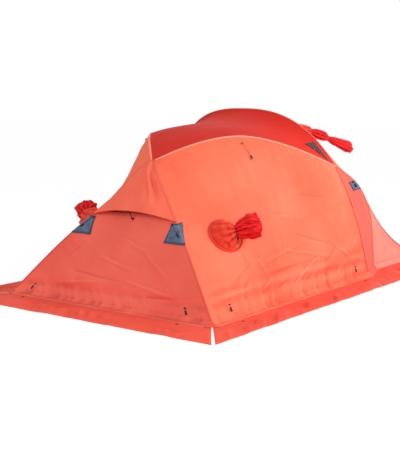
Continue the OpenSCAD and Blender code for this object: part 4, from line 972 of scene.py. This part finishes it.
def seamPiece(name, line, sideA, sideB, height, finish="seamTape", mirrored=False):
    # flat felled seam over a ridge; sideA and sideB give points on the cloth to each side of it
    s = np.linspace(0, 1, seamCut["steps"])
    mid = line(s)
    columns = []
    for surface, weight in ((sideA, 1.0), (sideA, 0.5), (sideA, 0), (sideB, 0.5), (sideB, 1.0)):
        there = surface(s)
        gap = np.linalg.norm(there - mid, axis=1, keepdims=True)
        away = mid + (there - mid) / np.maximum(gap, 1e-6) * np.minimum(gap, seamCut["half"]) * weight
        columns.append(lifted(away, height + seamCut["rise"] * seamCut["arch"][weight]))
    points = np.stack(columns, axis=1)
    return rideTent(gridPiece(name, onSide(points, mirrored), finishes[finish],
                              thick=seamCut["thick"]))


# stations on a long pole where each seam starts and ends, and how far into each cloth it is laid
seamRuns = {"peakBelow": 2.98, "peakAbove": 3.03, "porchEnd": 6.98}
seamIn = {"side": 0.03, "sideTop": 0.96, "sideFront": 0.97, "hood": 0.08, "roof": 0.04, "roofFront": 0.985,
          "bandBack": 0.06, "bandFront": 0.92, "porch": 0.05, "frontHood": 0.06}
hoodRun, porchRun = peakStop - backLip, bendStop - frontUnder


def poleRun(pole, start, end):
    return lambda s: pole(between(start, end, s))


def sideBySeam(start, end):
    return lambda s: sideAt(ones(s, seamIn["side"]), between(start, end, s) / peakStop)


def porchBySeam(s):
    t = between(frontLip, seamRuns["porchEnd"], s)
    onRoof = porchRoofAt((t - frontUnder) / porchRun, ones(s, seamIn["porch"]))
    onWing = wingAt(ones(s, seamIn["porch"]), np.clip(t - bendStop, 0, 1))
    return np.where((t < bendStop)[:, None], onRoof, onWing)


def roofAlong(s):
    return (between(seamRuns["peakAbove"], crossStop, s) - peakStop) / (crossStop - peakStop)


def bandAlong(s):
    return (between(frontLip, seamRuns["porchEnd"], s) - crossStop) / (endStop - crossStop)


seams = {
    "backLeg": (poleRun(farPole, 0, backLip), sideBySeam(0, backLip),
                lambda s: backAt(ones(s, seamIn["side"]), between(0, backLip, s) / underLip), 0),
    "peakLeg": (poleRun(farPole, backLip, seamRuns["peakBelow"]), sideBySeam(backLip, seamRuns["peakBelow"]),
                lambda s: backHoodAt((peakStop - between(backLip, seamRuns["peakBelow"], s)) / hoodRun,
                                     ones(s, seamIn["hood"])), seamCut["over"]),
    "roofEdge": (poleRun(nearPole, seamRuns["peakAbove"], crossStop),
                 lambda s: sideAt(roofAlong(s), ones(s, seamIn["sideTop"])),
                 lambda s: roofClothAt(roofAlong(s), ones(s, seamIn["roof"])), 0),
    "hoopLeg": (poleRun(hoopAt, hoopFoot, cross), lambda s: sideAt(ones(s, seamIn["sideFront"]), s),
                lambda s: bandAt(1 - s, ones(s, seamIn["bandBack"])), 0),
    "frontLeg": (poleRun(nearPole, frontLip, seamRuns["porchEnd"]),
                 lambda s: bandAt(bandAlong(s), ones(s, seamIn["bandFront"])), porchBySeam, 0),
}
for name, (line, sideA, sideB, over) in seams.items():
    for mirrored, tag in sides:
        seamPiece(name + "Seam" + tag, line, sideA, sideB, flyTop + over,
                  "paleSeam" if name == "roofEdge" else "seamTape", mirrored)
seamPiece("hoopTopSeam", poleRun(hoopAt, cross, -cross),
          lambda s: roofClothAt(ones(s, seamIn["roofFront"]), s),
          lambda s: frontHoodAt(ones(s, seamIn["frontHood"]), s), flyTop + seamCut["over"])
lipCut = {"steps": 120, "from": 0.004, "to": 0.996, "at": 0.9996, "spokes": 12, "radius": 0.0032,
          "wave": 0.15, "pitch": 3.0, "seed": 171, "under": 0.001}


def boundLip(name, surface):
    # rolled and bound hem along a hood's lip
    s = np.linspace(lipCut["from"], lipCut["to"], lipCut["steps"])
    line = lifted(surface(ones(s, lipCut["at"]), s), tent["hoodTop"] - lipCut["under"])
    way = unitRows(np.gradient(line, axis=0))
    side = unitRows(np.cross(outward(line), way))
    up = np.cross(way, side)
    turn = np.linspace(0, 2 * math.pi, lipCut["spokes"] + 1)[:-1]
    wave = softNoise(np.arange(len(s)) / lipCut["pitch"], np.zeros(len(s)), lipCut["seed"])[:, None]
    radius = lipCut["radius"] * (1 + lipCut["wave"] * wave)
    points = (line[:, None] + side[:, None] * (radius * np.cos(turn))[..., None]
              + up[:, None] * (radius * np.sin(turn))[..., None])

    def awayFromLine(m):
        return m - line[np.argmin(np.linalg.norm(m[:, None] - line[None], axis=-1), axis=1)]
    return rideTent(gridPiece(name, points, finishes["hemTape"], closed=True, thick=0, facing=awayFromLine))


boundLip("backHoodLip", backHoodAt)
boundLip("frontHoodLip", frontHoodAt)

patches = {"height": 0.0195, "sink": 0.0022, "sinkRun": 0.03, "cells": 20, "thick": 0.0008, "crumple": 0.0006,
           "rim": 2, "rimRise": 0.0007, "rimThick": 0.0006, "pitch": (0.02, 0.03), "seed": 181,
           "backRows": ((1.2, 0.002, 0.18), (4 / 3, 0.01, 0.14), (1.5, 0.026, 0.08), (1.57, 0.033, 0.06)),
           "frontRun": (5.44, 5.66), "frontBand": 0.55, "frontPorch": 0.06}


def patchPiece(name, ridge, onFirst, onSecond, mirrored):
    n = patches["cells"]
    b = np.linspace(0, 1, n + 1)
    mid = ridge(b)
    columns = []
    for a in np.linspace(-1, 1, 2 * n + 1):
        there = mid if a == 0 else (onFirst(b, -a) if a < 0 else onSecond(b, a))
        far = np.linalg.norm(there - mid, axis=1)
        sink = patches["sink"] * (1 - np.exp(-far / patches["sinkRun"]))
        columns.append(there + outward(there) * (patches["height"] - sink)[:, None])
    points = np.stack(columns, axis=1)
    crumple = cloudy(runLengths(points, 0), runLengths(points, 1), patches["pitch"], patches["seed"])
    points += gridNormals(points) * (patches["crumple"] * crumple)[..., None]
    piece = rideTent(gridPiece(name, onSide(points, mirrored), finishes["patch"],
                               thick=patches["thick"]))
    rim = np.ones((n, 2 * n), bool)
    rim[patches["rim"]:-patches["rim"], patches["rim"]:-patches["rim"]] = False
    bound = points + gridNormals(points) * patches["rimRise"]
    rideTent(gridPiece(name + "Binding", onSide(bound, mirrored), finishes["patchEdge"],
                       keep=lambda middle: rim.ravel(), thick=patches["rimThick"]))
    return piece


def backRow(b, k):
    stops = np.linspace(0, 1, len(patches["backRows"]))
    return np.interp(b, stops, [row[k] for row in patches["backRows"]])


def frontRun(b):
    return between(*patches["frontRun"], b)


firstPatch = None
for mirrored, tag in sides:
    made = patchPiece("backPatch" + tag, lambda b: farPole(backRow(b, 0)),
                      lambda b, a: sideAt(backRow(b, 1) * a, backRow(b, 0) / peakStop),
                      lambda b, a: backAt(backRow(b, 2) * a, backRow(b, 0) / underLip), mirrored)
    patchPiece("frontPatch" + tag, lambda b: nearPole(frontRun(b)),
               lambda b, a: bandAt((frontRun(b) - crossStop) / (endStop - crossStop),
                                   ones(b, 1 - patches["frontBand"] * a)),
               lambda b, a: porchRoofAt((frontRun(b) - frontUnder) / porchRun,
                                        ones(b, patches["frontPorch"] * a)),
               mirrored)
    firstPatch = firstPatch or made
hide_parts("corner_patches")
print("seams, hems and patches sewn")

# ---- roof windows ----
windowCut = {"corners": ((0.88, 0.08), (0.96, 0.10), (0.965, 0.012)), "height": 0.0184, "cells": 20,
             "tip": 0.02, "thick": 0.0006}
# tint and haze, with noise between them, are painted shade: the dark of the inside behind the film
film = {"tint": "#3A3638", "haze": "#5A4A48", "hazeSize": 60.0, "waveSize": 14.0, "bump": 0.25,
        "bumpHeight": 0.004, "roughness": 0.22, "ior": 1.53, "alpha": 0.86}


def clearFilm(name):
    # vinyl film: smooth and glossy; its dark colour is painted shade, the dim inside seen through it
    material, tree = newFinish(name)
    place = addNode(tree, "TexCoord")
    haze, wave = addNoise(tree, place, film["hazeSize"], 2.0), addNoise(tree, place, film["waveSize"], 1.0)
    addSurface(tree, {"Base Color": addRamp(tree, haze, film["tint"], film["haze"]), "Alpha": film["alpha"],
                      "Roughness": film["roughness"], "IOR": film["ior"],
                      "Normal": addBump(tree, wave, film["bump"], film["bumpHeight"])})
    return material


finishes["film"] = clearFilm("vinylFilmPaintedInsideShade")
firstWindow = None
for mirrored, tag in sides:
    corner = [np.array(c) for c in windowCut["corners"]]
    a, b = np.meshgrid(np.linspace(windowCut["tip"], 1, windowCut["cells"] + 1),
                       np.linspace(0, 1, windowCut["cells"] + 1), indexing="ij")
    uv = corner[0] + a[..., None] * (corner[1] - corner[0] + b[..., None] * (corner[2] - corner[1]))
    pane = roofClothAt(uv[..., 0].ravel(), uv[..., 1].ravel())
    pane = lifted(pane, windowCut["height"]).reshape(uv.shape[:2] + (3,))
    piece = rideTent(gridPiece("roofWindow" + tag, onSide(pane, mirrored), finishes["film"],
                               thick=windowCut["thick"]))
    firstWindow = firstWindow or piece
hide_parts("roof_windows")
print("roof windows sewn in")

# ---- inner tent ----
inner = {"height": -0.070, "edge": 0.0008, "doorHalf": 0.330, "sill": 0.070, "doorHigh": 0.490, "gap": 0.001,
         "wallDrop": 0.0015, "wallFront": 0.0003, "sag": 0.002, "sagRun": 0.05, "sagPitch": (0.12, 0.5),
         "rounds": 8, "spokes": 160, "wallRows": 25, "doorRows": 30, "doorFrom": 0.01,
         "floorRise": 0.0319, "floorThick": 0.0015, "floorWave": 0.0012, "floorPitch": (0.2, 0.09),
         "floorSeed": 231, "tubRows": 7, "wallSeed": 211, "doorSeed": 221}
edgeUV = (inner["edge"], 1 - inner["edge"])
floorCells = (60, 50)
innerPanel = {"cells": (50, 50), "height": inner["height"], "u": edgeUV, "v": edgeUV, "sink": 0.002,
              "pulls": ((30, 0.18, 0.8, 0.0030, 201), (100, 0.10, 0.5, 0.0015, 203))}
innerCuts = {
    "side": dict(innerPanel, cells=(70, 50)),
    "roof": dict(innerPanel, u=(0.04, 0.9996)),
    "back": dict(innerPanel, v=(inner["edge"], 0.96)),
}


def innerBackAt(u, v):
    return coons(u, v, straight(backCorner, flipped(backCorner)), still(peakStation),
                 lambda s: farPole(peakStop * s), lambda s: nearPole(peakStop * s), u)


layBoth("innerSide", "inner_side", innerCuts["side"], sideAt, "inner", farSeeds["inner"])
layFly("innerRoof", "inner_roof", innerCuts["roof"], roofAt, "inner")
layFly("innerBack", "inner_back", innerCuts["back"], innerBackAt, "inner")


def frontWallPoint(y, z):
    # the wall leans with the hoop; y and z are where the point ends up
    py, pz = np.array(y, float), np.array(z, float)
    for turn in range(inner["rounds"]):
        p = np.stack([tent["hoopX"] - tent["hoopLean"] * (pz - tent["hemZ"]), py, pz], axis=-1)
        there = lifted(p, inner["height"] - inner["wallDrop"])
        py, pz = py + y - there[..., 1], pz + z - there[..., 2]
    return there


doorMiddle = np.array([0.0, 0.40])
spokes = np.linspace(-math.pi, math.pi, inner["spokes"] + 1)[:-1]
beyond = 9  # metres, further off than any edge


def doorOutline(grow=0.0):
    # a straight-sided door with a round top, as distances from its middle along the spokes
    c, s = np.cos(spokes), np.sin(spokes)
    wide, lowZ, highZ = inner["doorHalf"] + grow, inner["sill"] - grow, inner["sill"] + inner["doorHigh"]
    up = doorMiddle[1] - highZ
    k = up * s
    with np.errstate(divide="ignore", invalid="ignore"):
        wall = np.where(np.abs(c) > 1e-9, wide / np.abs(c), beyond)
        wall = np.where(doorMiddle[1] + wall * s <= highZ, wall, beyond)
        sill = np.where(s < -1e-9, (lowZ - doorMiddle[1]) / s, beyond)
        arch = -k + np.sqrt(np.maximum(k * k - (up * up - wide * wide), 0))
        arch = np.where(doorMiddle[1] + arch * s >= highZ, arch, beyond)
    return np.minimum.reduce([wall, sill, arch])


def wallOutline():
    # distances from the door's middle to the wall's own edge
    s = np.linspace(*edgeUV, floorCells[0])
    parts = [mixed(hoopCorner, flipped(hoopCorner), s), flipped(hoopAt(between(hoopFoot, cross, s))),
             hoopAt(between(-cross, cross, s)), hoopAt(between(cross, hoopFoot, s))]
    line = lifted(np.vstack(parts), inner["height"] - inner["wallDrop"])[:, 1:] - doorMiddle
    at = np.arctan2(line[:, 1], line[:, 0])
    order = np.argsort(at)
    return np.interp(spokes, at[order], np.linalg.norm(line, axis=1)[order], period=2 * math.pi)


def wallPiece(name, ways, finish, seed):
    # ways: distances from the door's middle, from inside to outside
    y, z = doorMiddle[0] + ways * np.cos(spokes), doorMiddle[1] + ways * np.sin(spokes)
    points = frontWallPoint(y.ravel(), z.ravel()).reshape(ways.shape + (3,))
    edge = np.minimum(ways - ways[:1], ways[-1:] - ways)
    sag = 1 + cloudy(y, z, inner["sagPitch"], seed)
    points[..., 0] += inner["wallFront"] + tent["clothThick"]
    points[..., 0] -= inner["sag"] * sag * (1 - np.exp(-np.abs(edge) / inner["sagRun"]))
    return gridPiece(name, points, finishes[finish], closed=True, facing=lambda m: np.array([1.0, 0, 0]))


wallShare = np.linspace(0, 1, inner["wallRows"] + 1)[:, None]
doorShare = np.linspace(inner["doorFrom"], 1, inner["doorRows"])[:, None]
openEdge = doorOutline(inner["gap"])
rideTent(wallPiece("innerFrontWall", openEdge + (wallOutline() - openEdge) * wallShare, "inner",
                   inner["wallSeed"]), "inner_front")
innerDoor = wallPiece("innerDoorSheet", doorOutline() * doorShare, "innerDoor", inner["doorSeed"])
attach(innerDoor, "inner_door")
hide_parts("inner_door")

floorS, floorT = (np.linspace(0, 1, n) for n in floorCells)
u, v = np.meshgrid(floorS, floorT, indexing="ij")
nearEdge = lifted(mixed(backCorner, hoopCorner, between(*edgeUV, floorS)), inner["height"])
ends = [lifted(mixed(corner, flipped(corner), between(*edgeUV, floorT)), inner["height"])
        for corner in (backCorner, hoopCorner)]
flat = np.zeros(floorCells + (3,))
ground = mixed(nearEdge[:, None] + flat, flipped(nearEdge)[:, None] + flat, v)
ground[..., 0] = mixed(ends[0] + flat, ends[1] + flat, u)[..., 0]
wave = cloudy(ground[..., 0], ground[..., 1], inner["floorPitch"], inner["floorSeed"])
ground[..., 2] = inner["floorThick"] + inner["floorWave"] * (1 + wave)
rideTent(gridPiece("groundsheet", ground, finishes["groundsheet"], facing=lambda m: np.array([0, 0, 1.0])),
         "inner_floor")
around = np.concatenate([ground[:, 0], ground[-1, 1:], ground[-2::-1, -1], ground[0, -2:0:-1]])
tubHigh = inner["floorRise"] - inner["floorThick"] - inner["floorWave"]
bathtub = around[None] + np.array([0, 0, tubHigh]) * np.linspace(0, 1, inner["tubRows"])[:, None, None]
rideTent(gridPiece("groundsheetWall", bathtub, finishes["groundsheet"], closed=True,
                   facing=lambda m: m * np.array([1, 1, 0])))
print("inner tent hung")

# ---- poles, fittings, cords and zips ----
hard = {"rampFrom": 0.12, "rampTo": 0.42, "wearSize": 9.0, "bump": 0.4}
braid = {"turns": (0.8, -0.8), "waves": 0.3, "uneven": 0.4, "bump": 0.6, "bumpHeight": 0.0004,
         "roughness": 0.8, "sheen": 0.15}


def hardFinish(name, colour, shade, roughness, metallic, grain, bumpHeight):
    # worn in broad patches, over a fine grain
    material, tree = newFinish(name)
    place = addNode(tree, "TexCoord")
    speckle, wear = addNoise(tree, place, grain, 3.0), addNoise(tree, place, hard["wearSize"], 2.0)
    tone = addRamp(tree, addMath(tree, "MULTIPLY", speckle, wear), shade, colour, hard["rampFrom"],
                   hard["rampTo"])
    addSurface(tree, {"Base Color": tone, "Roughness": roughness, "Metallic": metallic,
                      "Normal": addBump(tree, speckle, hard["bump"], bumpHeight)})
    return material


def braidFinish(name, colour, shade, pitch):
    # woven from two sets of strands that cross, so it shows fine diagonal ribs
    material, tree = newFinish(name)
    place = addNode(tree, "TexCoord")
    waves = []
    for turn in braid["turns"]:
        tilted = addNode(tree, "Mapping", {"Vector": place.outputs["Object"], "Rotation": (turn, turn, turn)})
        waves.append(addNode(tree, "TexWave", {"Vector": tilted.outputs["Vector"],
                                               "Scale": braid["waves"] / pitch,
                                               "Distortion": braid["uneven"]}).outputs["Fac"])
    ribs = addMath(tree, "MULTIPLY", *waves)
    addSurface(tree, {"Base Color": addRamp(tree, ribs, shade, colour), "Roughness": braid["roughness"],
                      "Sheen Weight": braid["sheen"],
                      "Normal": addBump(tree, ribs, braid["bump"], braid["bumpHeight"])})
    return material


hardFinishes = {
    "poleAlloy": hardFinish("anodisedAluminiumSilver", "#C9CBCF", "#A9ACB2", 0.34, 1.0, 400.0, 0.0001),
    "hoopAlloy": hardFinish("anodisedAluminiumGold", "#D9B458", "#B8923C", 0.36, 1.0, 400.0, 0.0001),
    "ferrule": hardFinish("anodisedAluminiumDark", "#6A6D73", "#4C4F55", 0.40, 1.0, 400.0, 0.0001),
    "plastic": hardFinish("mouldedAcetalBlack", "#1B1B1D", "#0F0F11", 0.48, 0.0, 300.0, 0.0002),
    "eyelet": hardFinish("paintedSteelEyelet", "#8A3A2C", "#5E241A", 0.45, 0.3, 260.0, 0.0001),
    "cord": braidFinish("braidedPolyesterCord", "#26262A", "#0C0C0E", 0.002),
    "webbing": braidFinish("wovenNylonWebbing", "#2A2A2E", "#101013", 0.003),
    "zipTape": braidFinish("wovenZipTape", "#2B2B30", "#141418", 0.003),
}
hardNodes = {
    "poleAlloy": ("pole_a", "pole_b"), "hoopAlloy": ("pole_hoop",), "ferrule": ("pole_ferrules",),
    "eyelet": ("foot_grommets", "peg_eyelets"), "cord": ("cords",), "webbing": ("pole_ties",),
    "zipTape": ("door_zips",),
}
dressed = {n: finish for finish, names in hardNodes.items() for n in names}
for n, node in cadNodes.items():
    if node.hide_render:
        continue
    node.data.materials.clear()
    node.data.materials.append(hardFinishes[dressed.get(n, "plastic")])
zipCoil = {"half": 0.0022, "rise": 0.0013, "y": 0.4505, "teeth": 0.004, "steps": 300, "thick": 0.0005,
           "between": 0.6, "edge": 0.0006, "arch": (0, 0.6, 1.0, 0.6, 0), "across": (-1, -0.6, 0, 0.6, 1)}
coilS = np.linspace(porch["doorFrom"], porch["doorTo"], zipCoil["steps"])
tooth = 0.5 + 0.5 * np.cos(coilS * porchRadius * abs(porchSweep) / zipCoil["teeth"] * 2 * math.pi)
columns = []
for across, high in zip(zipCoil["across"], zipCoil["arch"]):
    top = zipCoil["rise"] * high * (zipCoil["between"] + (1 - zipCoil["between"]) * tooth)
    top += porch["height"] - (zipCoil["edge"] if high == 0 else 0)
    columns.append(shellAt(coilS, ones(coilS, across * zipCoil["half"] - zipCoil["y"]), top))
coil = np.stack(columns, axis=1)
for mirrored, tag in sides:
    rideTent(gridPiece("zipCoil" + tag, onSide(coil, mirrored), hardFinishes["zipTape"],
                       thick=zipCoil["thick"], facing=lambda m: porchCentre - m))
print("fittings finished")
